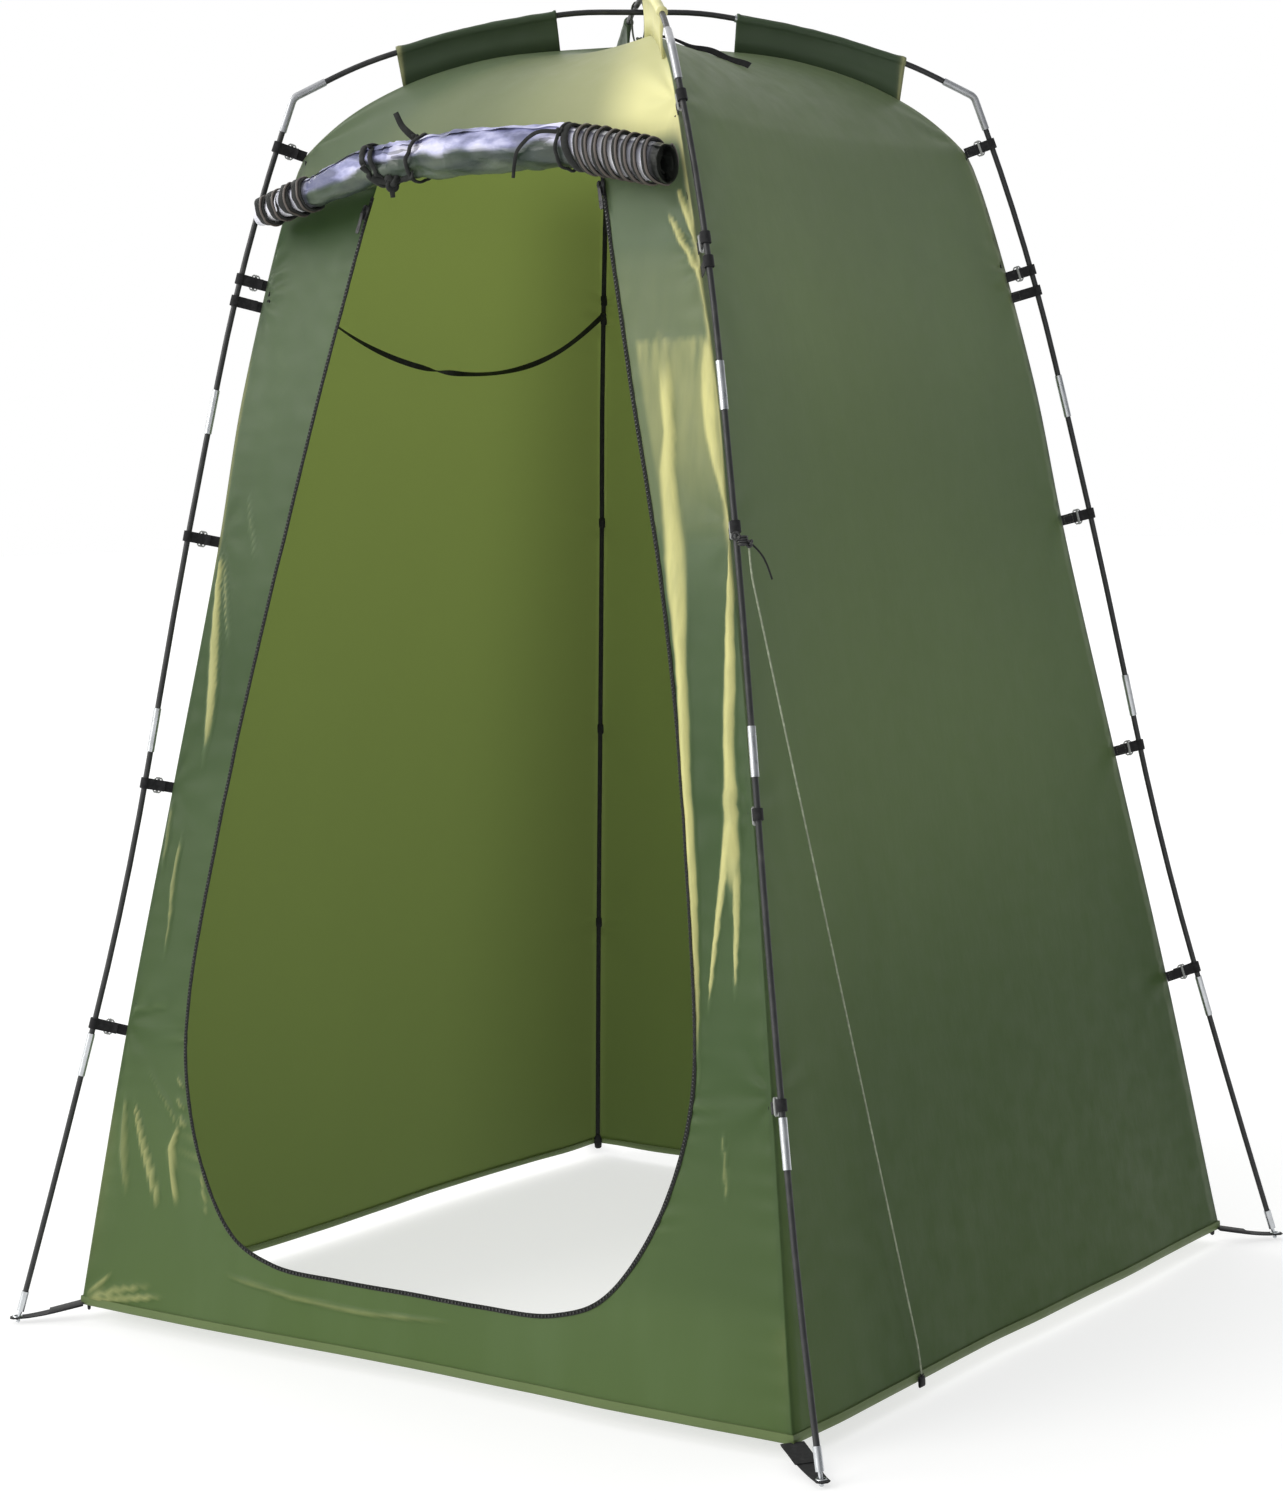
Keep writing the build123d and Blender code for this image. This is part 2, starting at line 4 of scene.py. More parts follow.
import bmesh
import bpy
import numpy as np
from mathutils import Matrix, Vector, noise
from mathutils.bvhtree import BVHTree


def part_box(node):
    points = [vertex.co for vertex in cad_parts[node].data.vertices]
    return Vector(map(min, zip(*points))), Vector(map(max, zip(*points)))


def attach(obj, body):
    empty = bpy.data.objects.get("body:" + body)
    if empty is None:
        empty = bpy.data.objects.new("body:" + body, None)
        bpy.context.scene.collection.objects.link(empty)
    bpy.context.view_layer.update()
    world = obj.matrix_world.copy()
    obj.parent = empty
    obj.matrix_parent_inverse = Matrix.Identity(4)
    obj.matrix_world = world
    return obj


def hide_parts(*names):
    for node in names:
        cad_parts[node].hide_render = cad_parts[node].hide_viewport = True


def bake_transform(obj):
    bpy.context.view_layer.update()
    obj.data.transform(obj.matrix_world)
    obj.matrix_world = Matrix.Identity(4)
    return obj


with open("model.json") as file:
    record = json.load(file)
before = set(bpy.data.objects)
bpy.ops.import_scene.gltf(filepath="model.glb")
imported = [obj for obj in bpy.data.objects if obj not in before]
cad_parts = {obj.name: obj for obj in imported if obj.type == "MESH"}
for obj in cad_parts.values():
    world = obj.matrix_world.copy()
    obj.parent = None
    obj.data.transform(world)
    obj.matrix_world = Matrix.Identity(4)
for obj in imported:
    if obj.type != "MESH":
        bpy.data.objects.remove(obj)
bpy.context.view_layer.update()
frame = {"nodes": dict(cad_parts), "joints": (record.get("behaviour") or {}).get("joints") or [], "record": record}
NODES = frame["nodes"]
JOINTS = {joint["name"]: joint for joint in frame["joints"]}
MOUNTS = {mount["name"]: Vector(mount["pos_m"]) for mount in frame["record"]["mounts"]}
SCENE = bpy.context.scene
UP = Vector((0, 0, 1))
CORNERS = {
    "front_left": (-1, -1),
    "front_right": (1, -1),
    "back_right": (1, 1),
    "back_left": (-1, 1),
}
WALLS = {
    "door_wall": ("front_left", "front_right"),
    "right_wall": ("front_right", "back_right"),
    "back_wall": ("back_right", "back_left"),
    "left_wall": ("back_left", "front_left"),
}


# ---------- small helpers ----------
def smooth(low, high, value):
    """0 below low, 1 above high, with an even step between."""
    share = min(1.0, max(0.0, (value - low) / (high - low)))
    return share * share * (3 - 2 * share)


def ripple(x, y=0.0, z=0.0):
    return noise.noise(Vector((x, y, z)))


def through(points, steps):
    """A Catmull-Rom line through points, steps samples a span."""
    ends = [points[0] * 2 - points[1], *points, points[-1] * 2 - points[-2]]
    line = []
    for a, b, c, d in zip(ends, ends[1:], ends[2:], ends[3:]):
        for s in range(steps):
            t = s / steps
            line.append((b * 2 + (c - a) * t + (a * 2 - b * 5 + c * 4 - d) * t**2
                         + (b * 3 - a - c * 3 + d) * t**3) * 0.5)
    return line + [points[-1].copy()]


def add_mesh(name, verts, faces, materials, body="tent", sharp=None):
    """A smooth-shaded mesh piece that rides on a body."""
    mesh = bpy.data.meshes.new(name)
    mesh.from_pydata([tuple(v) for v in verts], [], faces)
    mesh.validate()
    mesh.polygons.foreach_set("use_smooth", [True] * len(mesh.polygons))
    if sharp:
        mesh.set_sharp_from_angle(angle=math.radians(sharp))
    for material in materials if isinstance(materials, list) else [materials]:
        mesh.materials.append(material)
    piece = bpy.data.objects.new(name, mesh)
    SCENE.collection.objects.link(piece)
    if body:
        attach(piece, body)
    return piece


def outward(piece):
    """Turns a closed piece's faces outwards."""
    bm = bmesh.new()
    bm.from_mesh(piece.data)
    bmesh.ops.recalc_face_normals(bm, faces=bm.faces)
    bm.to_mesh(piece.data)
    bm.free()
    return piece


def ring_frames(path, normals=None, closed=False):
    """(point, across, out) along a path.

    The way out stays near its normal, or turns as little as it can.
    """
    n = len(path)
    out = None
    frames = []
    for i, point in enumerate(path):
        before = path[(i - 1) % n] if closed or i else point
        after = path[(i + 1) % n] if closed or i < n - 1 else point
        along = (after - before).normalized()
        if normals:
            out = normals[i] if isinstance(normals, list) else normals
        elif out is None:
            out = along.orthogonal()
        out = (out - along * out.dot(along)).normalized()
        frames.append((point, along.cross(out), out))
    return frames


def swept(path, section, normals=None, closed=False, size=None):
    """Vertices and faces of a section of (across, out) points carried along a path."""
    m = len(section)
    verts, faces = [], []
    for i, (point, across, out) in enumerate(ring_frames(path, normals, closed)):
        scale = size[i] if size else 1
        kx, ky = scale if isinstance(scale, tuple) else (scale, scale)
        verts += [point + across * (x * kx) + out * (y * ky) for x, y in section]
    for i in range(len(path) - (0 if closed else 1)):
        a, b = i * m, (i + 1) % len(path) * m
        for j in range(m):
            k = (j + 1) % m
            faces.append([a + j, a + k, b + k, b + j])
    if not closed:
        last = (len(path) - 1) * m
        faces.append(list(reversed(range(m))))
        faces.append([last + j for j in range(m)])
    return verts, faces


def sweep(name, path, section, material, body="tent", normals=None, closed=False, size=None,
          sharp=40):
    verts, faces = swept(path, section, normals, closed, size)
    return outward(add_mesh(name, verts, faces, material, body, sharp))


def many(name, parts, material, body="tent", sharp=40):
    """One piece from several (verts, faces) lists."""
    verts, faces = [], []
    for some_verts, some_faces in parts:
        base = len(verts)
        verts += some_verts
        faces += [[base + i for i in face] for face in some_faces]
    return outward(add_mesh(name, verts, faces, material, body, sharp))


def band(width, thick, crown=0.0):
    """Section of a flat tape with softened edges, (across, out)."""
    w, t = width / 2, thick / 2
    e = min(t, w) * 0.7
    return [(-w, -t + e), (-w + e, -t), (w - e, -t), (w, -t + e), (w, t - e), (w - e, t),
            (0, t + crown), (-w + e, t), (-w, t - e)]


def round_section(radius, count=10):
    return [(radius * math.cos(a), radius * math.sin(a))
            for a in (2 * math.pi * i / count for i in range(count))]


def ring_path(centre, axis, radius, count=20):
    x = axis.orthogonal().normalized()
    y = axis.normalized().cross(x)
    return [centre + (x * math.cos(a) + y * math.sin(a)) * radius
            for a in (2 * math.pi * i / count for i in range(count))]


def lattice(rows, columns, closed=False):
    """Faces between rows of points; a closed lattice joins each row's end to its start."""
    faces = []
    for i in range(rows - 1):
        for j in range(columns if closed else columns - 1):
            k, a, b = (j + 1) % columns, i * columns, (i + 1) * columns
            faces.append([a + j, a + k, b + k, b + j])
    return faces


def cad_islands(node):
    """The separate solids of a CAD node, each as a list of its points."""
    bm = bmesh.new()
    bm.from_mesh(NODES[node].data)
    bmesh.ops.remove_doubles(bm, verts=bm.verts, dist=1e-5)
    left = set(bm.verts)
    found = []
    while left:
        stack = [left.pop()]
        island = []
        while stack:
            vert = stack.pop()
            island.append(vert.co.copy())
            for edge in vert.link_edges:
                other = edge.other_vert(vert)
                if other in left:
                    left.remove(other)
                    stack.append(other)
        found.append(island)
    bm.free()
    return sorted(found, key=lambda points: min(p.z for p in points))


def middle(points):
    return sum(points, Vector()) / len(points)


# ---------- camera ----------
CAMERA_PLACE = (2.4618, -3.4389, 1.1428)
CAMERA_TURN = (35.874, 4.862, -1.382)  # azimuth, elevation and roll, in degrees
CAMERA_LENS, CAMERA_SENSOR = 70.17, 36  # mm


def make_camera():
    azimuth, elevation, roll = (math.radians(a) for a in CAMERA_TURN)
    back = Vector((math.sin(azimuth) * math.cos(elevation),
                   -math.cos(azimuth) * math.cos(elevation), math.sin(elevation)))
    level = Vector((math.cos(azimuth), math.sin(azimuth), 0))
    up = back.cross(level)
    x = level * math.cos(roll) + up * math.sin(roll)
    y = up * math.cos(roll) - level * math.sin(roll)
    data = bpy.data.cameras.new("camera")
    data.lens = CAMERA_LENS
    data.sensor_width = CAMERA_SENSOR
    camera = bpy.data.objects.new("camera", data)
    turn = Matrix((x, y, back)).transposed().to_4x4()
    camera.matrix_world = Matrix.Translation(CAMERA_PLACE) @ turn
    SCENE.collection.objects.link(camera)
    SCENE.camera = camera


make_camera()


# ---------- materials ----------
class Nodes:
    """A material's node tree with a Principled shader, built a node at a time."""

    def __init__(self, name, colour, roughness=0.5, metallic=0.0, specular=0.5, sheen=0.0):
        self.material = bpy.data.materials.new(name)
        self.material.use_nodes = True
        self.material.diffuse_color = (*colour, 1)
        self.tree = self.material.node_tree
        self.shader = self.tree.nodes["Principled BSDF"]
        self.shader.inputs["Base Color"].default_value = (*colour, 1)
        self.shader.inputs["Roughness"].default_value = roughness
        self.shader.inputs["Metallic"].default_value = metallic
        self.shader.inputs["Specular IOR Level"].default_value = specular
        self.shader.inputs["Sheen Weight"].default_value = sheen
        self.place = self.add("ShaderNodeTexCoord").outputs["Object"]

    def add(self, kind, **settings):
        node = self.tree.nodes.new(kind)
        for key, value in settings.items():
            if key.startswith("in_"):
                name = key[3:].replace("_", " ")
                node.inputs[int(name) if name.isdigit() else name].default_value = value
            else:
                setattr(node, key, value)
        return node

    def link(self, a, b):
        self.tree.links.new(a, b)
        return b

    def noise(self, scale, detail=2.0, stretch=None, roughness=0.5):
        node = self.add("ShaderNodeTexNoise", in_Scale=scale, in_Detail=detail,
                        in_Roughness=roughness)
        source = self.place
        if stretch:
            mapping = self.add("ShaderNodeMapping", in_Scale=stretch)
            self.link(source, mapping.inputs["Vector"])
            source = mapping.outputs[0]
        self.link(source, node.inputs["Vector"])
        return node.outputs["Fac"]

    def cells(self, scale, stretch):
        """Distance to the nearest of scattered points: flat-sided crumples, as a height."""
        mapping = self.add("ShaderNodeMapping", in_Scale=stretch)
        node = self.add("ShaderNodeTexVoronoi", in_Scale=scale)
        self.link(self.place, mapping.inputs["Vector"])
        self.link(mapping.outputs[0], node.inputs["Vector"])
        return node.outputs["Distance"]

    def ramp(self, factor, stops):
        node = self.add("ShaderNodeValToRGB")
        elements = node.color_ramp.elements
        while len(elements) < len(stops):
            elements.new(0.5)
        for element, (position, colour) in zip(elements, stops):
            element.position = position
            element.color = (*colour, 1)
        self.link(factor, node.inputs[0])
        return node.outputs[0]

    def range(self, value, low, high, to_low=0.0, to_high=1.0):
        node = self.add("ShaderNodeMapRange")
        self.link(value, node.inputs["Value"])
        limits = {"From Min": low, "From Max": high, "To Min": to_low, "To Max": to_high}
        for name, number in limits.items():
            node.inputs[name].default_value = number
        return node.outputs[0]

    def mix(self, factor, a, b):
        node = self.add("ShaderNodeMix", data_type="RGBA")
        for socket, value in ((node.inputs[0], factor), (node.inputs[6], a), (node.inputs[7], b)):
            self.feed(value, socket)
        return node.outputs[2]

    def feed(self, value, socket):
        """Links a node's output to a socket, or sets a plain colour on it."""
        if isinstance(value, bpy.types.NodeSocket):
            self.link(value, socket)
        else:
            socket.default_value = (*value, 1)

    def multiply(self, a, b):
        node = self.add("ShaderNodeMath", operation="MULTIPLY", use_clamp=True)
        self.link(a, node.inputs[0])
        self.link(b, node.inputs[1])
        return node.outputs[0]

    def attribute(self, name):
        return self.add("ShaderNodeAttribute", attribute_name=name).outputs["Fac"]

    def height(self):
        node = self.add("ShaderNodeSeparateXYZ")
        self.link(self.place, node.inputs[0])
        return node.outputs["Z"]

    def threads(self, pitch, strength=0.35):
        """A plain weave: warp and weft bands, as one height."""
        total = None
        for direction in ("X", "Z"):
            wave = self.add("ShaderNodeTexWave", bands_direction=direction, in_Scale=0.314 / pitch,
                            in_Distortion=0.6, in_Detail=1.0)
            wave.inputs["Detail Scale"].default_value = 2.0
            self.link(self.place, wave.inputs["Vector"])
            if total is None:
                total = wave.outputs["Fac"]
            else:
                add = self.add("ShaderNodeMath", operation="ADD")
                self.link(total, add.inputs[0])
                self.link(wave.outputs["Fac"], add.inputs[1])
                total = add.outputs[0]
        return self.range(total, 0, 2, 0, strength)

    def bump(self, height, distance, strength=1.0, under=None):
        node = self.add("ShaderNodeBump", in_Strength=strength, in_Distance=distance)
        self.link(height, node.inputs["Height"])
        if under:
            self.link(under, node.inputs["Normal"])
        return node.outputs[0]

    def colour(self, socket):
        self.link(socket, self.shader.inputs["Base Color"])

    def rough(self, socket):
        self.link(socket, self.shader.inputs["Roughness"])

    def normal(self, socket):
        self.link(socket, self.shader.inputs["Normal"])

    def translucent(self, colour, share):
        """Mixes in light that comes through the cloth."""
        glow = self.add("ShaderNodeBsdfTranslucent")
        self.feed(colour, glow.inputs["Color"])
        mixer = self.add("ShaderNodeMixShader", in_0=share)
        self.link(self.shader.outputs[0], mixer.inputs[1])
        self.link(glow.outputs[0], mixer.inputs[2])
        output = self.tree.nodes["Material Output"]
        self.link(mixer.outputs[0], output.inputs["Surface"])


def tinted(colour, times, more=0.0):
    return tuple(min(1, c * times + more) for c in colour)


def cloth_material(name, low, mid, top, bright, through, share, roughness=0.42, sheen=0.03):
    """Coated taffeta: a colour for each height (painted shade low down, painted sheen at the top), mottling, a
    fine weave, and painted highlights on folds.
    """
    made = Nodes(name, mid, roughness, specular=0.18, sheen=sheen)
    # Painted shade and light by height: darker at the foot, paler and greyer at the top as painted sky sheen.
    shade = made.ramp(made.range(made.height(), 0.0, 1.85), [(0.0, low), (0.45, mid), (0.95, top)])
    mottle = made.noise(2.2, 4.0, (1.0, 1.0, 0.45))
    shade = made.mix(made.range(mottle, 0.35, 0.75, 0.0, 0.35), shade, tinted(mid, 0.62))
    streak = made.noise(9.0, 3.0, (1.0, 1.0, 0.18))
    shade = made.mix(made.range(streak, 0.5, 0.8, 0.0, 0.22), shade, tinted(mid, 1.45))
    # The glow attribute holds painted highlights above zero and painted shade below zero.
    light = made.attribute("glow")
    painted_shade = made.range(light, 0.0, -1.0)
    # Painted shade: where glow is below zero the cloth goes towards dark green.
    shade = made.mix(painted_shade, shade, (0.018, 0.055, 0.007))
    roof = made.range(made.height(), 1.57, 1.63)
    streaks = made.range(made.noise(75.0, 3.0, (1.0, 1.0, 0.14)), 0.34, 0.62, 0.82, 1.05)
    # Painted highlights on the folds, streaked below the roof and paler on it.
    glow = made.multiply(light, made.mix(roof, streaks, (1, 1, 1)))
    made.colour(made.mix(glow, shade, made.mix(roof, bright, tinted(bright, 1.08, 0.10))))
    made.rough(made.range(made.noise(30.0, 3.0), 0.3, 0.7, roughness - 0.06, roughness + 0.1))
    creases = made.bump(made.noise(26.0, 5.0, (1.0, 1.0, 0.4), 0.6), 0.0016, 0.5)
    made.normal(made.bump(made.threads(0.0009), 0.0002, 0.4, creases))
    # Painted shade in the light let through: dimmer towards the foot, and dimmer where glow is below zero.
    dim = made.range(made.height(), 0.0, 1.5, 0.55, 0.0)
    passed = made.mix(dim, through, (through[0] * 0.45, through[1] * 0.48, through[2] * 0.62))
    made.translucent(made.mix(painted_shade, passed, tinted(through, 0.3)), share)
    return made.material


def webbing_material(name, colour, pitch=0.0016, roughness=0.75):
    """Woven tape or cord, with paler rubbed threads."""
    made = Nodes(name, colour, roughness, specular=0.15, sheen=0.08)
    worn = made.noise(160.0, 3.0)
    rubbed = made.range(worn, 0.45, 0.8, 0.0, 0.6)
    made.colour(made.mix(rubbed, colour, tinted(colour, 2.2, 0.012)))
    made.rough(made.range(worn, 0.3, 0.8, roughness - 0.1, roughness + 0.12))
    made.normal(made.bump(made.threads(pitch), 0.0004, 0.8))
    return made.material


def hard_material(name, colour, roughness, metallic, worn, grain=220.0, coat=0.0):
    """Metal or plastic with fine grain, smudges and rubbed patches."""
    made = Nodes(name, colour, roughness, metallic)
    made.shader.inputs["Coat Weight"].default_value = coat
    patches = made.range(made.noise(45.0, 4.0), 0.52, 0.75, 0.0, 0.7)
    made.colour(made.mix(patches, colour, worn))
    smudges = made.noise(grain, 3.0, (1.0, 1.0, 0.2))
    made.rough(made.range(smudges, 0.3, 0.7, roughness - 0.08, roughness + 0.12))
    made.normal(made.bump(made.noise(grain * 3, 2.0), 0.00012, 0.5))
    return made.material


# Name; colours at the foot, half way up and at the top, with painted shade below and painted sheen above; painted
# highlights on folds; light let through.
LIT_GREEN, SLEEVE_GREEN, HEM_GREEN = (0.74, 0.70, 0.30), (0.055, 0.085, 0.045), (0.13, 0.18, 0.068)
OUTSIDE = cloth_material("cloth_outside", (0.064, 0.114, 0.028), (0.096, 0.144, 0.070),
                         (0.136, 0.172, 0.120), LIT_GREEN, (0.50, 0.62, 0.30), 0.22)
INSIDE = cloth_material("cloth_inside", (0.08, 0.12, 0.045), (0.11, 0.16, 0.05),
                        (0.15, 0.19, 0.05), (0.62, 0.66, 0.25), (0.92, 0.96, 0.50), 0.86, 0.5, 0.02)
SLEEVE = cloth_material("cloth_sleeve", SLEEVE_GREEN, SLEEVE_GREEN, (0.058, 0.086, 0.05),
                        LIT_GREEN, (0.30, 0.38, 0.14), 0.12)
BINDING = cloth_material("cloth_binding", HEM_GREEN, HEM_GREEN, HEM_GREEN, (0.45, 0.50, 0.2),
                         (0.4, 0.5, 0.2), 0.1)
WEBBING = webbing_material("webbing_black", (0.014, 0.014, 0.015))
TAPE = webbing_material("tape_black", (0.016, 0.017, 0.016), 0.0011)
THREAD = webbing_material("thread_grey", (0.10, 0.11, 0.09), 0.0008)
GUYLINE = webbing_material("guyline_green", (0.24, 0.27, 0.19), 0.0014, 0.6)
STEEL = hard_material("ferrule_steel", (0.62, 0.64, 0.66), 0.3, 1.0, (0.42, 0.43, 0.44))
RODS = hard_material("rod_black", (0.018, 0.019, 0.020), 0.48, 0.0, (0.045, 0.045, 0.043), 300.0,
                     0.05)
ELBOW = hard_material("elbow_grey", (0.42, 0.43, 0.45), 0.40, 0.6, (0.28, 0.28, 0.29), 120.0)
BUCKLE = hard_material("buckle_grey", (0.30, 0.31, 0.30), 0.4, 0.0, (0.2, 0.2, 0.19))
KNOB = hard_material("plastic_black", (0.02, 0.02, 0.021), 0.35, 0.0, (0.05, 0.05, 0.05))
ZIPPER = hard_material("zip_metal", (0.035, 0.035, 0.037), 0.45, 0.5, (0.09, 0.09, 0.088))
TEETH = hard_material("zip_teeth", (0.02, 0.021, 0.02), 0.4, 0.0, (0.06, 0.06, 0.055))
COILS = hard_material("zip_coil_brown", (0.095, 0.078, 0.068), 0.45, 0.0, (0.04, 0.036, 0.034))
CORD = webbing_material("shock_cord", (0.02, 0.02, 0.02), 0.001)


# ---------- cords ----------
def nurbs(name, points, radius, material, body="tent"):
    data = bpy.data.curves.new(name, "CURVE")
    data.dimensions = "3D"
    data.resolution_u = 24
    spline = data.splines.new("NURBS")
    spline.points.add(len(points) - 1)
    for point, co in zip(spline.points, points):
        point.co = (*co, 1)
    spline.order_u = 3
    spline.use_endpoint_u = True
    data.bevel_depth = radius
    data.bevel_resolution = 4
    data.use_fill_caps = True
    data.materials.append(material)
    line = bpy.data.objects.new(name, data)
    SCENE.collection.objects.link(line)
    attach(line, body)
    return line


def centreline(points):
    """Points along the NURBS line that a route's control points give."""
    line = nurbs("route", points, 0.0, None)
    line.data.bevel_depth = 0
    bpy.context.view_layer.update()
    mesh = bpy.data.meshes.new_from_object(line)
    path = [v.co.copy() for v in mesh.vertices]
    bpy.data.objects.remove(line)
    bpy.data.meshes.remove(mesh)
    return path


GUY_TOP = Vector((0.47989, -0.47833, 1.092))  # on the rod, at the knot
GUY_END = Vector((0.607, -0.300, 0.021))  # in the loop at the hem
GUY_RADIUS = 0.00125


def make_lines():
    start, bend = (GUY_TOP + Vector(p) for p in (
        (0.0062, 0.0042, -0.005), (0.0082, 0.0036, -0.036)))
    low, last = (GUY_END + Vector(p) for p in ((-0.001, -0.004, 0.040), (0, 0, 0.007)))
    along = (low - bend).normalized()
    route = [start, bend, bend + along * 0.034, low - along * 0.033, low, last]
    guy = nurbs("guy_line", route, GUY_RADIUS, GUYLINE)
    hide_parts("guy_cord")
    tail_points = [GUY_TOP + Vector(p) for p in (
        (0.0085, 0.0045, -0.003), (0.014, 0.014, -0.012), (0.019, 0.024, -0.028),
        (0.022, 0.030, -0.048))]
    tail = nurbs("guy_line_tail", tail_points, GUY_RADIUS, TAPE)
    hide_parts("guy_tail")
    route = [Vector(p) / 1000 for p in (
        (-358, -352, 1450), (-357, -294, 1418), (-357, -205, 1378), (-354, -102, 1350),
        (-355, 12, 1339), (-351, 120, 1344), (-351, 220, 1366), (-347, 305, 1403),
        (-346, 364, 1439))]
    path = centreline(route)
    lengths = np.cumsum([0] + [(b - a).length for a, b in zip(path, path[1:])])
    turns = [0.35 + math.pi * smooth(0.27, 0.40, s) + 0.55 * math.sin(s * 17) for s in lengths]
    normals = [Vector((math.cos(turn), 0, math.sin(turn))) for turn in turns]
    line = sweep("inside_tape_line", path, band(0.0082, 0.0014), TAPE, normals=normals)
    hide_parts("inside_line")


make_lines()


# ---------- canopy ----------
def seam_points(corner):
    """The outer corner seam of the CAD walls, hem to apex."""
    sx, sy = CORNERS[corner]
    wall = "right_wall" if sx > 0 else "left_wall"
    points = [v.co.copy() for v in NODES[wall].data.vertices]
    points = [p for p in points if p.x * sx > 0 and p.y * sy > abs(p.x) * 0.6]
    rows = []
    for point in sorted(points, key=lambda p: p.z):
        if rows and point.z - rows[-1][0].z < 0.008:
            rows[-1].append(point)
        else:
            rows.append([point])
    seam = [max(row, key=lambda p: math.hypot(p.x, p.y)) for row in rows]
    apex = max(v.co.z for v in NODES[wall].data.vertices)
    return [p for p in seam if p.z < apex - 0.004] + [Vector((0, 0, apex))]


def eased_line(points, steps):
    """A smooth line that doesn't overshoot where short spans follow long ones."""
    gaps = [(b - a).length for a, b in zip(points, points[1:])]
    slopes = [(b - a) / gap for a, b, gap in zip(points, points[1:], gaps)]
    tangents = [slopes[0]]
    for near, far, before, after in zip(gaps, gaps[1:], slopes, slopes[1:]):
        tangents.append((before * far + after * near) / (far + near))
    tangents.append(slopes[-1])
    line = []
    for i, gap in enumerate(gaps):
        limit = min(gap, 1.6 * min(gaps[max(i - 1, 0)], gap, gaps[min(i + 1, len(gaps) - 1)]))
        reach = [t * limit for t in (tangents[i], tangents[i + 1])]
        for s in range(steps):
            t = s / steps
            line.append(points[i] * (2 * t**3 - 3 * t**2 + 1) + reach[0] * (t**3 - 2 * t**2 + t)
                        + points[i + 1] * (3 * t**2 - 2 * t**3) + reach[1] * (t**3 - t**2))
    return line + [points[-1].copy()]


SEAMS = {corner: seam_points(corner) for corner in CORNERS}
SPANS = len(SEAMS["front_left"]) - 1
FINE = 40
FINE_SEAMS = {corner: eased_line(points, FINE) for corner, points in SEAMS.items()}


def seam(corner, t):
    """A point on a smooth corner seam, t from 0 at the hem to SPANS at the apex."""
    line = FINE_SEAMS[corner]
    i = min(int(t * FINE), len(line) - 2)
    return line[i].lerp(line[i + 1], t * FINE - i)


def seam_row(z):
    """The t at which the seams pass a height."""
    line = FINE_SEAMS["front_left"]
    for i, (a, b) in enumerate(zip(line, line[1:])):
        if a.z <= z <= b.z:
            return (i + (z - a.z) / (b.z - a.z)) / FINE
    return 0.0 if z < line[0].z else SPANS


HEAD_Z = 1.590
DOOR_EDGE = through([Vector((x, z)) for x, z in (
    (0.194, HEAD_Z), (0.267, 1.295), (0.340, 1.0), (0.397, 0.71), (0.430, 0.45), (0.404, 0.29),
    (0.330, 0.165), (0.240, 0.122), (0.120, 0.116), (0.0, 0.116))], 24)
TURN_Z = 0.45  # above it the strips by the doorway are level rows; below it they turn round it
CLOTH = 0.0009  # the canopy's thickness


def front(x, z):
    """A point on the door wall, by its x and height."""
    t = seam_row(z)
    left, right = seam("front_left", t), seam("front_right", t)
    return left.lerp(right, (x - left.x) / (right.x - left.x))


def door_half_width(z):
    for a, b in zip(DOOR_EDGE, DOOR_EDGE[1:]):
        if b.y <= z <= a.y:
            return a.x + (b.x - a.x) * (a.y - z) / max(a.y - b.y, 1e-9)
    return 0.0


def even_shares(line, count):
    """count + 1 points evenly along a line."""
    lengths = [0.0]
    for a, b in zip(line, line[1:]):
        lengths.append(lengths[-1] + (b - a).length)
    result, j = [], 0
    for i in range(count + 1):
        s = lengths[-1] * i / count
        while j < len(line) - 2 and lengths[j + 1] < s:
            j += 1
        share = (s - lengths[j]) / max(lengths[j + 1] - lengths[j], 1e-9)
        result.append(line[j].lerp(line[j + 1], min(1.0, share)))
    return result


def eased(i, n, pull=0.55):
    """Shares from 0 to 1 that lie closer together at both ends."""
    t = i / n
    return t * (1 - pull) + pull * (0.5 - 0.5 * math.cos(math.pi * t))


STRIP, HEAD, SIDE, HEM = 38, 26, 36, 44  # points across a front strip, the door head, a wall, a hem
STRAP_Z = [middle(points).z for points in cad_islands("rod_straps_front_left")]
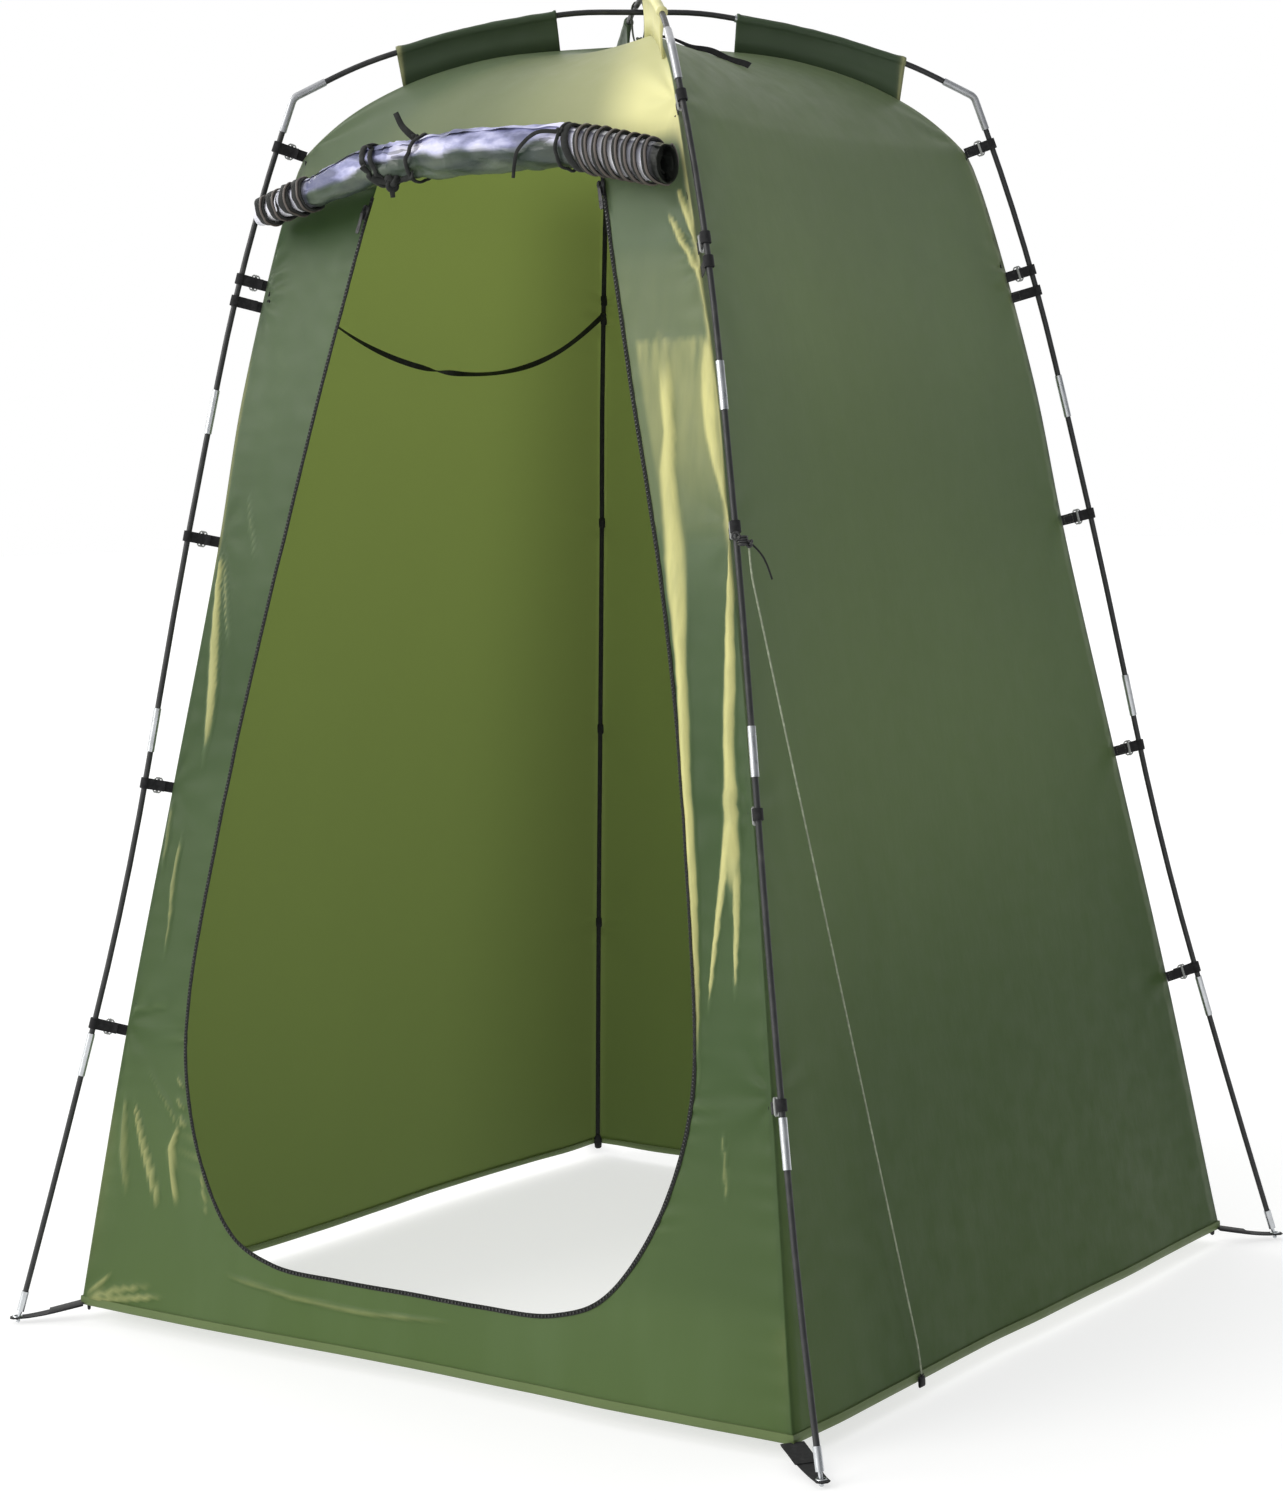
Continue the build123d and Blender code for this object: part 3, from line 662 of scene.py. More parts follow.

# Creased stripes on the door wall with painted highlights, in mm: depth, brightness of the painted
# highlight, then (x, height, half width) at each point along.
STRIPES = [
    (6, 1.0, (308, 1352, 6), (316, 1335, 11), (325, 1286, 11), (334, 1228, 9), (333, 1180, 12),
     (342, 1122, 15), (350, 1066, 16), (360, 1009, 13), (368, 949, 11), (377, 888, 11),
     (384, 828, 10), (397, 740, 9), (411, 650, 8), (425, 540, 6), (437, 430, 3)),
    (5, 0.9, (388, 1352, 8), (390, 1300, 13), (396, 1250, 12), (402, 1220, 11), (414, 1177, 8),
     (429, 1133, 4), (436, 1112, 2)),
    (6.5, 1.0, (436, 1112, 4), (439, 1049, 5.5), (441, 989, 7.5), (446, 930, 9.5), (450, 850, 10),
     (458, 775, 12), (466, 700, 12), (472, 640, 6)),
    (3, 0.9, (458, 735, 8), (451, 650, 5), (446, 560, 3), (444, 520, 2)),
    (3, 0.7, (474, 700, 6), (479, 620, 5), (483, 540, 2)),
    (5, 0.8, (314, 1506, 3), (333, 1478, 4.5), (354, 1448, 5), (374, 1418, 5), (383, 1385, 4.5),
     (392, 1350, 5)),
    (5, 0.9, (327, 1535, 3.5), (345, 1501, 5), (366, 1458, 3.5)),
    (2, 0.4, (478, 375, 2), (485, 330, 4), (488, 290, 2)),
    (5.5, 0.75, (-428, 1090, 2), (-430, 1030, 6), (-430, 960, 9), (-428, 900, 10), (-430, 850, 8),
     (-436, 790, 3)),
    (3, 0.4, (-424, 1080, 2), (-413, 1000, 3), (-404, 955, 2)),
    (2, 0.3, (-385, 1165, 2), (-378, 1120, 3), (-365, 1075, 2)),
    (3, 0.35, (-488, 735, 3), (-492, 690, 5), (-498, 640, 3)),
    (4, 0.42, (-466, 690, 2), (-476, 619, 5), (-477, 562, 3), (-483, 515, 2)),
    (3, 0.17, (-540, 442, 2), (-500, 447, 3), (-438, 458, 2)),
    (3, 0.17, (-500, 360, 2), (-455, 315, 3), (-428, 283, 2)),
    (5, 0.49, (-520, 315, 2), (-498, 258, 5), (-477, 216, 6), (-456, 168, 2)),
    (5, 0.49, (-431, 290, 2), (-442, 256, 7), (-434, 216, 5), (-425, 180, 2)),
    (4, 0.24, (-538, 320, 3), (-535, 245, 7), (-524, 185, 3)),
    (3, 0.28, (-381, 226, 1), (-374, 200, 3), (-366, 176, 1)),
    (3, 0.28, (-357, 207, 1), (-345, 190, 3), (-331, 174, 1)),
    (3, 0.35, (-441, 356, 2), (-433, 347, 3), (-424, 342, 2)),
    (3, 0.35, (-438, 328, 2), (-430, 318, 3), (-421, 314, 2)),
    (3, 0.35, (-432, 304, 2), (-425, 294, 3), (-416, 290, 2)),
    (4, 0.35, (-590, 34, 2), (-566, 52, 4), (-544, 67, 2)),
    (4, 0.32, (-588, 31, 2), (-530, 49, 5), (-468, 64, 2)),
    (4, 0.32, (-585, 29, 2), (-515, 40, 5), (-442, 52, 2)),
    (4, 0.15, (-320, 98, 2), (-200, 84, 3), (-80, 80, 3), (60, 88, 2)),
]
STRIPES = [([tuple(v / 1000 for v in point) for point in points], depth / 1000, light)
           for depth, light, *points in STRIPES]


def stripe_at(x, z):
    """(depth, painted highlight) of the creased stripes at a place on the door wall."""
    depth = glow = 0.0
    for points, amount, light in STRIPES:
        xs, zs, _ = zip(*points)
        if not (min(xs) - 0.03 < x < max(xs) + 0.03 and min(zs) - 0.03 < z < max(zs) + 0.03):
            continue
        length = sum(math.hypot(b[0] - a[0], b[1] - a[1]) for a, b in zip(points, points[1:]))
        best, run = None, 0.0
        for (x0, z0, w0), (x1, z1, w1) in zip(points, points[1:]):
            dx, dz = x1 - x0, z1 - z0
            span = math.hypot(dx, dz)
            share = min(1.0, max(0.0, ((x - x0) * dx + (z - z0) * dz) / span**2))
            away = math.hypot(x - x0 - dx * share, z - z0 - dz * share)
            half = w0 + (w1 - w0) * share
            half *= 1 + 0.30 * min(1.0, (half / 0.010) ** 2) * ripple(x * 30, z * 8, amount * 900)
            value = away / max(half, 0.0022)
            if best is None or value < best[0]:
                best = (value, (run + share * span) / length)
            run += span
        taper = smooth(0.0, 0.10, best[1]) * smooth(1.0, 0.80, best[1])
        fade = light * (0.9 + 0.25 * ripple(x * 20 + 5, z * 6, amount * 500))
        depth += amount * (0.25 + 0.75 * taper) * math.exp(-(best[0] ** 2) * 1.3)
        glow = max(glow, (1 - smooth(0.45, 1.30, best[0])) * (0.15 + 0.85 * taper) * fade)
    return depth, glow


WAVES = {"door_wall": 0.0, "right_wall": 7.3, "back_wall": 15.1, "left_wall": 23.7}


def bell(value, centre, spread):
    return math.exp(-((value - centre) / spread) ** 2)


def wall_relief(wall, u, t, x, z):
    """How far the cloth stands out of its taut surface, and its painted highlights and painted shade."""
    left, right = (seam(corner, t) for corner in WALLS[wall])
    width = (right - left).length
    edge = min(u, 1 - u) * width
    near = math.exp(-edge / 0.030)
    roof = smooth(1.60, 1.70, z)
    wave = WAVES[wall]
    side = wave + (2.0 if u > 0.5 else 0.0)
    # The sag between the seams, slow waves, puckers along the seams, and the folds at the hem.
    sag = 4 * u * (1 - u)
    out = -0.010 * sag * (1 - roof) * smooth(0.05, 0.6, z) - 0.012 * sag * roof
    out += 0.0022 * ripple(u * 3.1 + wave, z * 1.4, 3.0) * (1 - near)
    pucker = math.sin(z * 165 + 5 * ripple(z * 9, side))
    out += 0.0011 * near * pucker * (1 - roof) * smooth(0, 0.01, edge)
    out += 0.0035 * math.exp(-(z - 0.024) / 0.07) * ripple(u * 9 + wave, 5.5)
    hem_fold = math.sin(u * 9.5 + wave) * smooth(0, 0.12, edge)
    out += 0.0045 * math.exp(-(z - 0.024) / 0.16) * hem_fold
    for strap_z in STRAP_Z:
        away = math.hypot(edge + 0.004, z - strap_z)
        angle = math.atan2(z - strap_z, edge + 0.004)
        pull = math.exp(-away / 0.055) * smooth(0, 0.012, edge)
        out += 0.0030 * pull * math.cos(angle * 7 + strap_z * 3 + side)
    # Painted highlight along the seams.
    glow = 0.10 * math.exp(-edge / 0.010) * smooth(0, 0.2, z)
    if wall == "door_wall":
        if z < HEAD_Z + 0.02:
            depth, glow = strip_relief(x, z, side, glow)
            out += depth
        glow = door_glow(u, width, x, z, glow)
    # Painted shade from wall_shade is taken off, less where there is a painted highlight.
    return out, glow - wall_shade(wall, u, z, x) * (1 - min(1.0, 2.2 * max(glow, 0)))


def strip_relief(x, z, side, glow):
    """The strips by the doorway: (how far they stand out, their painted highlights)."""
    out, bright = stripe_at(x, z)
    glow = max(glow, bright)
    gap = abs(x) - door_half_width(z)
    if x > 0 and 1.08 < z < 1.36:
        # The painted lit patch below the right end of the roll.
        lit = smooth(1.352, 1.340, z + 0.005 * ripple(x * 130, 2.0))
        lit *= smooth(1.05, 1.28, z) * smooth(0.010, 0.022, gap)
        grain = smooth(1.28, 1.34, z) * ripple(x * 120, z * 9, 9.0)
        glow = max(glow, lit * (0.31 + 0.30 * grain))
    if z > 0.13:
        # Puckers along the zip, deepest round the doorway's lower bends, with painted highlights on their crests.
        edge_pull = math.exp(-max(gap, 0) / 0.022)
        wave = math.sin(z * 150 + 8 * ripple(z * 11, side))
        out += 0.0009 * edge_pull * wave * smooth(0.0, 0.008, gap)
        pucker = bell(z, 0.42, 0.06) + 0.8 * bell(z, 0.26, 0.05)
        fine = math.sin(z * 230 + 9 * ripple(z * 17, x * 8)) * (0.5 + ripple(z * 31, 6.0))
        out += 0.0022 * pucker * edge_pull * fine * smooth(0, 0.006, gap)
        glow = max(glow, 0.35 * pucker * edge_pull * max(0, fine))
    return out, glow


def door_glow(u, width, x, z, glow):
    """The door wall's painted light: painted highlights on its seam edges and the painted lit gore above the
    doorway.
    """
    lip = 0.75 * smooth(1.06, 1.12, z) * bell((1 - u) * width, 0, 0.007)
    rim = 0.35 * smooth(1.42, 1.30, z) * smooth(0.95, 1.10, z) * bell(u * width, 0, 0.007)
    glow = max(glow if u > 0.02 or z < 1.3 else 0.0, lip, rim)
    if z > HEAD_Z:
        lit = 0.09 + 0.24 * smooth(0.35, 0.85, u)
        lit += (0.27 + 0.43 * smooth(1.74, 1.65, z)) * smooth(0.76, 0.93, u)
        return max(glow, smooth(HEAD_Z, HEAD_Z + 0.03, z) * lit)
    # A faint painted highlight on the right strip above 1.1 m.
    return max(glow, 0.07) if x > 0 and z > 1.1 else glow


def wall_shade(wall, u, z, x):
    """How far painted shade takes the cloth below its own colour: the shaded side, and the strips by the door,
    with the roll's painted shadow.
    """
    if wall == "right_wall":
        across = 0.35 + 0.65 * smooth(0.0, 0.25, u)
        low = 0.24 * smooth(1.45, 1.15, z) + 0.42 * smooth(0.90, 0.30, z)
        return across * low + 0.08 * smooth(1.60, 1.70, z)
    if wall == "left_wall":
        return 0.28 * smooth(0.40, 0.0, u) * smooth(1.70, 1.55, z)
    if wall != "door_wall":
        return 0.0
    if z > HEAD_Z:
        return 0.16 * smooth(0.35, 0.05, u) * smooth(HEAD_Z, HEAD_Z + 0.05, z)
    if x < 0:
        return (0.30 * smooth(0.26, 0.45, z) + 0.24 * bell(z, 0.90, 0.13)
                - 0.12 * smooth(1.15, 1.30, z) + 0.62 * smooth(1.45, 1.53, z))
    return (0.30 * bell(z, 1.56, 0.08) + 0.34 * smooth(1.10, 0.98, z) * smooth(0.25, 0.50, z)
            + 0.20 * bell(z, 0.76, 0.16) + 0.18 * smooth(0.14, 0.20, z) * smooth(0.60, 0.40, z))


def make_canopy():
    """One continuous sheet round all four walls, with the doorway left out of the front."""
    verts, marks, faces = [], [], []
    index = {}

    def vert(key, wall, u, t, x=None):
        if key not in index:
            left, right = (seam(corner, t) for corner in WALLS[wall])
            index[key] = len(verts)
            verts.append(left.lerp(right, u))
            marks.append((wall, u, t, verts[-1].x if x is None else x))
        return index[key]

    head_t, turn_t = seam_row(HEAD_Z), seam_row(TURN_Z)
    low = [turn_t * i / 60 for i in range(60)]
    heights = [TURN_Z + 0.010 * i for i in range(88)] + [1.330 + 0.005 * i for i in range(43)]
    high = [seam_row(z) for z in heights + [1.545, 1.556, 1.567, 1.579]]
    roof = [head_t + (SPANS - head_t) * eased(i, 38, 0.3) for i in range(39)]
    rows = low + high + roof
    first_head = len(low) + len(high)
    last = len(rows) - 1

    for wall, (left, right) in WALLS.items():
        if wall == "door_wall":
            continue

        def key_at(i, j):
            if i == last:
                return "apex"
            return (wall, i, j) if 0 < j < SIDE else (left if j == 0 else right, i)

        for i, t in enumerate(rows):
            for j in range(SIDE + 1):
                vert(key_at(i, j), wall, eased(j, SIDE, 0.35), t)
        for i in range(last):
            for j in range(SIDE):
                ring = (key_at(i, j), key_at(i, j + 1), key_at(i + 1, j + 1), key_at(i + 1, j))
                faces.append(list(dict.fromkeys(index[key] for key in ring)))

    # The door wall: a band round the doorway on each side, then the gore above its head.
    lower_edge = [p for p in DOOR_EDGE if p.y <= TURN_Z + 1e-6]
    corner_split = 0.42  # the share of the doorway's lower edge that the corner seams face
    hem_shares = even_shares(lower_edge, 1000)
    hem_middle = (seam("front_left", 0).x + seam("front_right", 0).x) / 2
    inner_edges = {}
    for side, corner in ((-1, "front_left"), (1, "front_right")):
        stations = []
        for i in reversed(range(first_head + 1)):
            outer = seam(corner, rows[i])
            if rows[i] >= turn_t - 1e-9:
                half = door_half_width(outer.z) if i < first_head else DOOR_EDGE[0].x
                inner = Vector((half, outer.z))
            else:
                share = (1 - rows[i] / turn_t) * corner_split
                inner = hem_shares[round(share * 1000)]
            place = Vector((side * inner.x, inner.y))
            stations.append((Vector((outer.x, outer.z)), place, (corner, i)))
        foot = seam(corner, 0.0)
        for j in range(1, HEM + 1):
            inner = hem_shares[round((corner_split + (1 - corner_split) * j / HEM) * 1000)]
            place = Vector((side * inner.x, inner.y))
            x = foot.x * (1 - j / HEM) + hem_middle * j / HEM
            stations.append((Vector((x, foot.z)), place, ("hem", side, j)))
        keys = []
        for k, (outer, inner, outer_key) in enumerate(stations):
            line = []
            for j in range(STRIP + 1):
                place = outer.lerp(inner, eased(j, STRIP, 0.5))
                key = outer_key if j == 0 else ("band", side, k, j)
                if k == len(stations) - 1:
                    key = ("band_middle", j)
                t = seam_row(place.y)
                a, b = seam("front_left", t), seam("front_right", t)
                vert(key, "door_wall", (place.x - a.x) / (b.x - a.x), t, place.x)
                line.append(key)
            keys.append(line)
        for near, far in zip(keys, keys[1:]):
            for j in range(STRIP):
                ring = [index[near[j]], index[near[j + 1]], index[far[j + 1]], index[far[j]]]
                faces.append(ring if side > 0 else ring[::-1])
        inner_edges[side] = [line[-1] for line in keys]
    head_row = [("front_left", first_head)] + [("band", -1, 0, j) for j in range(1, STRIP + 1)]
    left, right = seam("front_left", head_t), seam("front_right", head_t)
    for j in range(1, HEAD):
        x = DOOR_EDGE[0].x * (2 * j / HEAD - 1)
        vert(("head", j), "door_wall", (x - left.x) / (right.x - left.x), head_t, x)
        head_row.append(("head", j))
    head_row += [("band", 1, 0, j) for j in range(STRIP, 0, -1)]
    head_row.append(("front_right", first_head))
    shares = [marks[index[key]][1] for key in head_row]
    shares[0], shares[-1] = 0.0, 1.0
    below = head_row
    for i in range(first_head + 1, last + 1):
        above = []
        for j, u in enumerate(shares):
            key = ("gore", i, j)
            if j in (0, len(shares) - 1):
                key = ("front_left" if j == 0 else "front_right", i)
            if i == last:
                key = "apex"
            vert(key, "door_wall", u, rows[i])
            above.append(key)
        for j in range(len(shares) - 1):
            ring = (below[j], below[j + 1], above[j + 1], above[j])
            faces.append(list(dict.fromkeys(index[key] for key in ring)))
        below = above
    faces = [face for face in faces if len(face) > 2]

    piece = add_mesh("canopy", verts, faces, [OUTSIDE, INSIDE], None)
    bm = bmesh.new()
    bm.from_mesh(piece.data)
    bm.verts.ensure_lookup_table()
    bmesh.ops.recalc_face_normals(bm, faces=bm.faces)
    bm.normal_update()
    top = max(bm.faces, key=lambda f: f.calc_center_median().z)
    if top.normal.z < 0:
        bmesh.ops.reverse_faces(bm, faces=bm.faces)
        bm.normal_update()
    # The glow layer carries painted highlights (above zero) and painted shade (below zero).
    glow = bm.verts.layers.float.new("glow")
    normals = [v.normal.copy() for v in bm.verts]
    for v, n, (wall, u, t, x) in zip(bm.verts, normals, marks):
        out, bright = wall_relief(wall, u, t, x, v.co.z)
        v[glow] = bright
        v.co = v.co + n * out
    bm.normal_update()
    edge_path, edge_out = {}, {}
    for side, keys in inner_edges.items():
        edge_path[side] = [bm.verts[index[key]].co.copy() for key in keys]
        edge_out[side] = [bm.verts[index[key]].normal.copy() for key in keys]
    hem_keys = [("front_left", 0)] + [("hem", -1, j) for j in range(1, HEM)] + [("band_middle", 0)]
    hem_keys += [("hem", 1, j) for j in reversed(range(1, HEM))]
    for wall, (left, _) in WALLS.items():
        if wall != "door_wall":
            hem_keys += [(left, 0)] + [(wall, 0, j) for j in range(1, SIDE)]
    hem_path = [bm.verts[index[key]].co.copy() for key in hem_keys]
    bm.to_mesh(piece.data)
    bm.free()
    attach(piece, "tent")
    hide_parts(*WALLS)
    solid = piece.modifiers.new("thickness", "SOLIDIFY")
    solid.thickness = CLOTH
    solid.offset = -1
    solid.material_offset = 1
    solid.material_offset_rim = 0
    return piece, edge_path, edge_out, hem_path


canopy, DOOR_PATH, DOOR_OUT, HEM_PATH = make_canopy()
SKIN = BVHTree.FromPolygons([v.co for v in canopy.data.vertices],
                            [p.vertices[:] for p in canopy.data.polygons])


def make_trim():
    """Zip round the doorway, binding on the hems, and tape down the corner seams."""
    path = DOOR_PATH[-1] + DOOR_PATH[1][-2::-1]
    out = DOOR_OUT[-1] + DOOR_OUT[1][-2::-1]
    start = next(i for i, p in enumerate(path) if p.z < 1.577)
    path, out = path[start:len(path) - start], out[start:len(out) - start]
    path = [p + n * CLOTH for p, n in zip(path, out)]
    track = sweep("door_zip_tape", path, band(0.0060, 0.0011), TAPE, normals=out)
    fine, fine_out = [], []
    for a, b, n, m in zip(path, path[1:], out, out[1:]):
        steps = max(1, round((b - a).length / 0.0028))
        for k in range(steps):
            fine.append(a.lerp(b, k / steps))
            fine_out.append(n.lerp(m, k / steps))
    tooth_faces = [[0, 1, 2, 3], [4, 5, 6, 7], [0, 1, 5, 4], [1, 2, 6, 5], [2, 3, 7, 6],
                   [3, 0, 4, 7]]
    teeth = []
    for point, across, normal in ring_frames(fine, fine_out)[::2]:
        ahead = across.cross(normal) * 0.0009
        reach = across * 0.0018
        corners = []
        for rise, wide, deep in ((0.0004, 1, 1), (0.0019, 0.7, 0.8)):
            base = point + normal * rise
            corners += [base + reach * (wide * x) + ahead * (deep * y)
                        for x, y in ((-1, -1), (1, -1), (1, 1), (-1, 1))]
        teeth.append((corners, tooth_faces))
    teeth = many("door_zip_teeth", teeth, TEETH)
    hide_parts("door_zip_track")
    # A folded binding: it goes up both sides of the cloth.
    h, s = 0.0095, 0.0013  # its height and half its thickness
    fold = [(-s, h), (-s - 0.0006, h * 0.5), (-s, -0.002), (0, -0.0028), (s, -0.002),
            (s + 0.0006, h * 0.5), (s, h), (s * 0.45, h), (s * 0.4, 0.0), (-s * 0.4, 0.0),
            (-s * 0.45, h)]
    up = [Vector((0, 0, 1))] * len(HEM_PATH)
    hem = sweep("hem_tape", [p + Vector((0, 0, -0.0008)) for p in HEM_PATH], fold, BINDING,
                normals=up, closed=True, sharp=70)
    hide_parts("hem_binding")
    tapes, knobs = [], []
    for corner, (sx, sy) in CORNERS.items():
        inward = Vector((-sx, -sy, 0)).normalized()
        top_t = seam_row(1.628)
        line = [seam(corner, top_t * i / 90) + inward * (0.0062 + 0.0005 * ripple(i * 0.4, sx, sy))
                for i in range(91)]
        tapes.append(swept(line, band(0.0075, 0.0012, 0.0008), inward))

        def knob(spot, rises, section, size):
            knobs.append(swept([spot + UP * d for d in rises], section, inward, size=size))

        for z in STRAP_Z:
            knob(seam(corner, seam_row(min(z, 1.62))) + inward * 0.0085,
                 (-0.009, -0.007, 0, 0.007, 0.009), band(0.0105, 0.0030),
                 [0.55, 0.95, 1, 0.95, 0.55])
        knob(seam(corner, 0) + inward * 0.010,
             (-0.012, -0.010, -0.004, 0.006, 0.012), band(0.013, 0.005), [0.5, 0.9, 1, 0.95, 0.6])
    tape = many("corner_tapes", tapes, TAPE, sharp=60)
    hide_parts("corner_seam_tapes")
    tabs = many("corner_tape_tabs", knobs, WEBBING, sharp=60)
    return [track, teeth, hem, tape, tabs]


trim = make_trim()


# ---------- pole sleeves ----------
def upper_hull(points):
    hull = []
    for p in sorted(points):
        while len(hull) > 1 and ((hull[-1][0] - hull[-2][0]) * (p[1] - hull[-2][1])
                                 - (hull[-1][1] - hull[-2][1]) * (p[0] - hull[-2][0])) >= 0:
            hull.pop()
        hull.append(p)
    return hull


def on_hull(hull, r):
    for (r0, z0), (r1, z1) in zip(hull, hull[1:]):
        if r0 <= r <= r1:
            return z0 + (z1 - z0) * (r - r0) / max(r1 - r0, 1e-9)
    return hull[0][1] if r < hull[0][0] else hull[-1][1]


SLEEVE_SHORT = {"back_right": 0.033, "front_left": 0.008}  # how far a start lies from its solid's
TUBE = 0.0068  # the radius of the cloth round the rod


def make_sleeve(corner):
    """A tube of cloth round the roof rod, with a web down to the seam."""
    node = f"pole_sleeve_{corner}"
    points = [v.co for v in NODES[node].data.vertices]
    far = middle(sorted(points, key=lambda p: -math.hypot(p.x, p.y))[:24])
    along = Vector((far.x, far.y, 0)).normalized()
    aside = Vector((0, 0, 1)).cross(along)
    hull = upper_hull([(p.x * along.x + p.y * along.y, p.z) for p in points])
    low_r, high_r = hull[0][0] + SLEEVE_SHORT.get(corner, 0.002), hull[-1][0] - 0.002
    seam_line = sorted((math.hypot(p.x, p.y), p.z) for p in FINE_SEAMS[corner] if p.z > 1.5)
    rows, around = 70, 22
    # The web's section, under the tube: (aside, share of the height).
    web = ((-0.0016, 0.45), (-0.0011, 0.0), (0.0011, 0.0), (0.0016, 0.45))
    verts, glow = [], []
    for i in range(rows + 1):
        share = i / rows
        r = low_r + (high_r - low_r) * share
        rod_z = on_hull(hull, r) - 0.0074
        foot_z = on_hull(seam_line, r) - 0.0005
        hemmed = 0.0007 * (bell(share, 0.012, 0.012) + bell(share, 0.988, 0.012))
        end = smooth(0.94, 1, share)
        for k in range(around):
            if k < around - len(web):
                a = -math.pi * 0.36 + (math.pi * 1.72) * k / (around - 5)
                crumple = ripple(r * 55, math.cos(a) * 1.4, math.sin(a) * 1.4 + 7 * low_r)
                swell = TUBE + hemmed + 0.0007 * crumple
                w, z, lift = swell * math.cos(a), rod_z + swell * math.sin(a), 1.0
            else:
                w, lift = web[k - (around - len(web))]
                z = foot_z + (rod_z - foot_z) * lift
                sway = 0.0035 * ripple(r * 22, corner.count("l") * 3.0, lift)
                w += sway * (1 - abs(2 * lift - 1) * 0.8)
            slant = (z - foot_z) * (0.10 * smooth(0.06, 0, share) + 0.16 * end) - 0.004 * end
            place = along * (r + slant) + aside * w
            verts.append(Vector((place.x, place.y, z)))
            # Painted highlights: the whole front right sleeve, and a paler band at each sleeve's end.
            bright = 0.85 if corner == "front_right" else 0.0
            glow.append(max(bright, 0.30 * bell(share, 0.99, 0.012)))
    faces = lattice(rows + 1, around, True)
    faces.append(list(reversed(range(around))))
    faces.append([rows * around + k for k in range(around)])
    piece = outward(add_mesh(f"sleeve_{corner}", verts, faces, SLEEVE))
    piece.data.attributes.new("glow", "FLOAT", "POINT").data.foreach_set("value", glow)
    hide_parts(node)
    return piece


sleeves = [make_sleeve(corner) for corner in CORNERS]


# ---------- straps ----------
def strap_frames(node):
    """For each CAD strap: its place on the rod, the way to the seam, the rod's way, its reach."""
    frames = []
    for points in cad_islands(node):
        ends = sorted(points, key=lambda p: math.hypot(p.x, p.y))[:4]
        centre = middle(ends)
        sides = sorted(((q - ends[0]) for q in ends[1:]), key=lambda d: d.length)
        rod = sides[1].normalized()
        thin = sides[0].normalized()
        inward = rod.cross(thin).normalized()
        if inward.dot(centre - middle(points)) < 0:
            inward = -inward
        rod = rod if rod.z > 0 else -rod
        reach = max((centre - p).dot(inward) for p in points) - 0.0061
        frames.append((centre - inward * reach, inward, rod, reach))
    return frames


def facings(path, axis):
    """The way out of a tape's face along a path that bends about an axis."""
    last = len(path) - 1
    return [(path[min(i + 1, last)] - path[max(i - 1, 0)]).cross(axis) for i in range(last + 1)]


def make_straps(corner):
    node, buckles_node = f"rod_straps_{corner}", f"strap_buckles_{corner}"
    buckle_spots = [middle(points) for points in cad_islands(buckles_node)]
    bands, bars, stitches = [], [], []
    yarn = round_section(0.00035, 6)
    for n, (origin, inward, rod, reach) in enumerate(strap_frames(node)):
        side = rod.cross(inward)
        reach += 0.0012

        def at(x, y, z=0.0):
            return origin + inward * x + side * y + rod * z

        wobble = 0.0012 * ripple(n * 3.7, origin.x * 9)
        outline = [(reach, 0.0012), (reach * 0.75, 0.0016 + wobble), (reach * 0.5, 0.0019),
                   (0.0105, 0.0030)]
        outline += [(0.0062 * math.cos(a), 0.0062 * math.sin(a)) for a in
                    (math.radians(40 + 280 * k / 14) for k in range(15))]
        outline += [(0.0105, -0.0030), (reach * 0.5, -0.0018), (reach * 0.58, -0.0022 - wobble),
                    (reach * 0.70, -0.0034)]
        path = through([at(x, y) for x, y in outline], 3)
        bands.append(swept(path, band(0.015, 0.0012), facings(path, rod)))
        for z in (-0.0052, 0.0052):
            for k in range(4):
                x = reach - 0.004 - 0.0035 * k
                stitches.append(swept([at(x, 0.0021, z), at(x - 0.0022, 0.0021, z)], yarn))
        for x in (reach - 0.0035, reach - 0.0165):
            for k in range(3):
                z = -0.0042 + 0.0034 * k
                stitches.append(swept([at(x, 0.0021, z), at(x, 0.0021, z + 0.0021)], yarn))
        spot = origin + inward * (reach * 0.45)
        if any((spot - b).length < 0.02 for b in buckle_spots):
            c = reach * 0.45
            frame_line = [at(c + x, 0.0, z) for x, z in (
                (-0.005, -0.0085), (-0.0035, -0.0102), (0.0035, -0.0102), (0.005, -0.0085),
                (0.005, 0.0085), (0.0035, 0.0102), (-0.0035, 0.0102), (-0.005, 0.0085))]
            bars.append(swept(frame_line, round_section(0.0012, 8), side, closed=True))
            bar = [at(c, 0.0031, z) for z in (-0.0105, -0.009, -0.004, 0.004, 0.009, 0.0105)]
            bars.append(swept(bar, round_section(0.0018, 10), side, size=[0.75, 1, 1, 1, 1, 0.75]))
            for z in (-0.0102, 0.0102):
                post = [at(c, y, z) for y in (-0.0008, 0.0036)]
                bars.append(swept(post, round_section(0.0015, 8), inward))
    straps = many(f"straps_{corner}", bands, WEBBING)
    buckles = many(f"buckles_{corner}", bars, BUCKLE)
    thread = many(f"strap_stitches_{corner}", stitches, THREAD)
    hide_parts(node)
    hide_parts(buckles_node)


for corner in CORNERS:
    make_straps(corner)


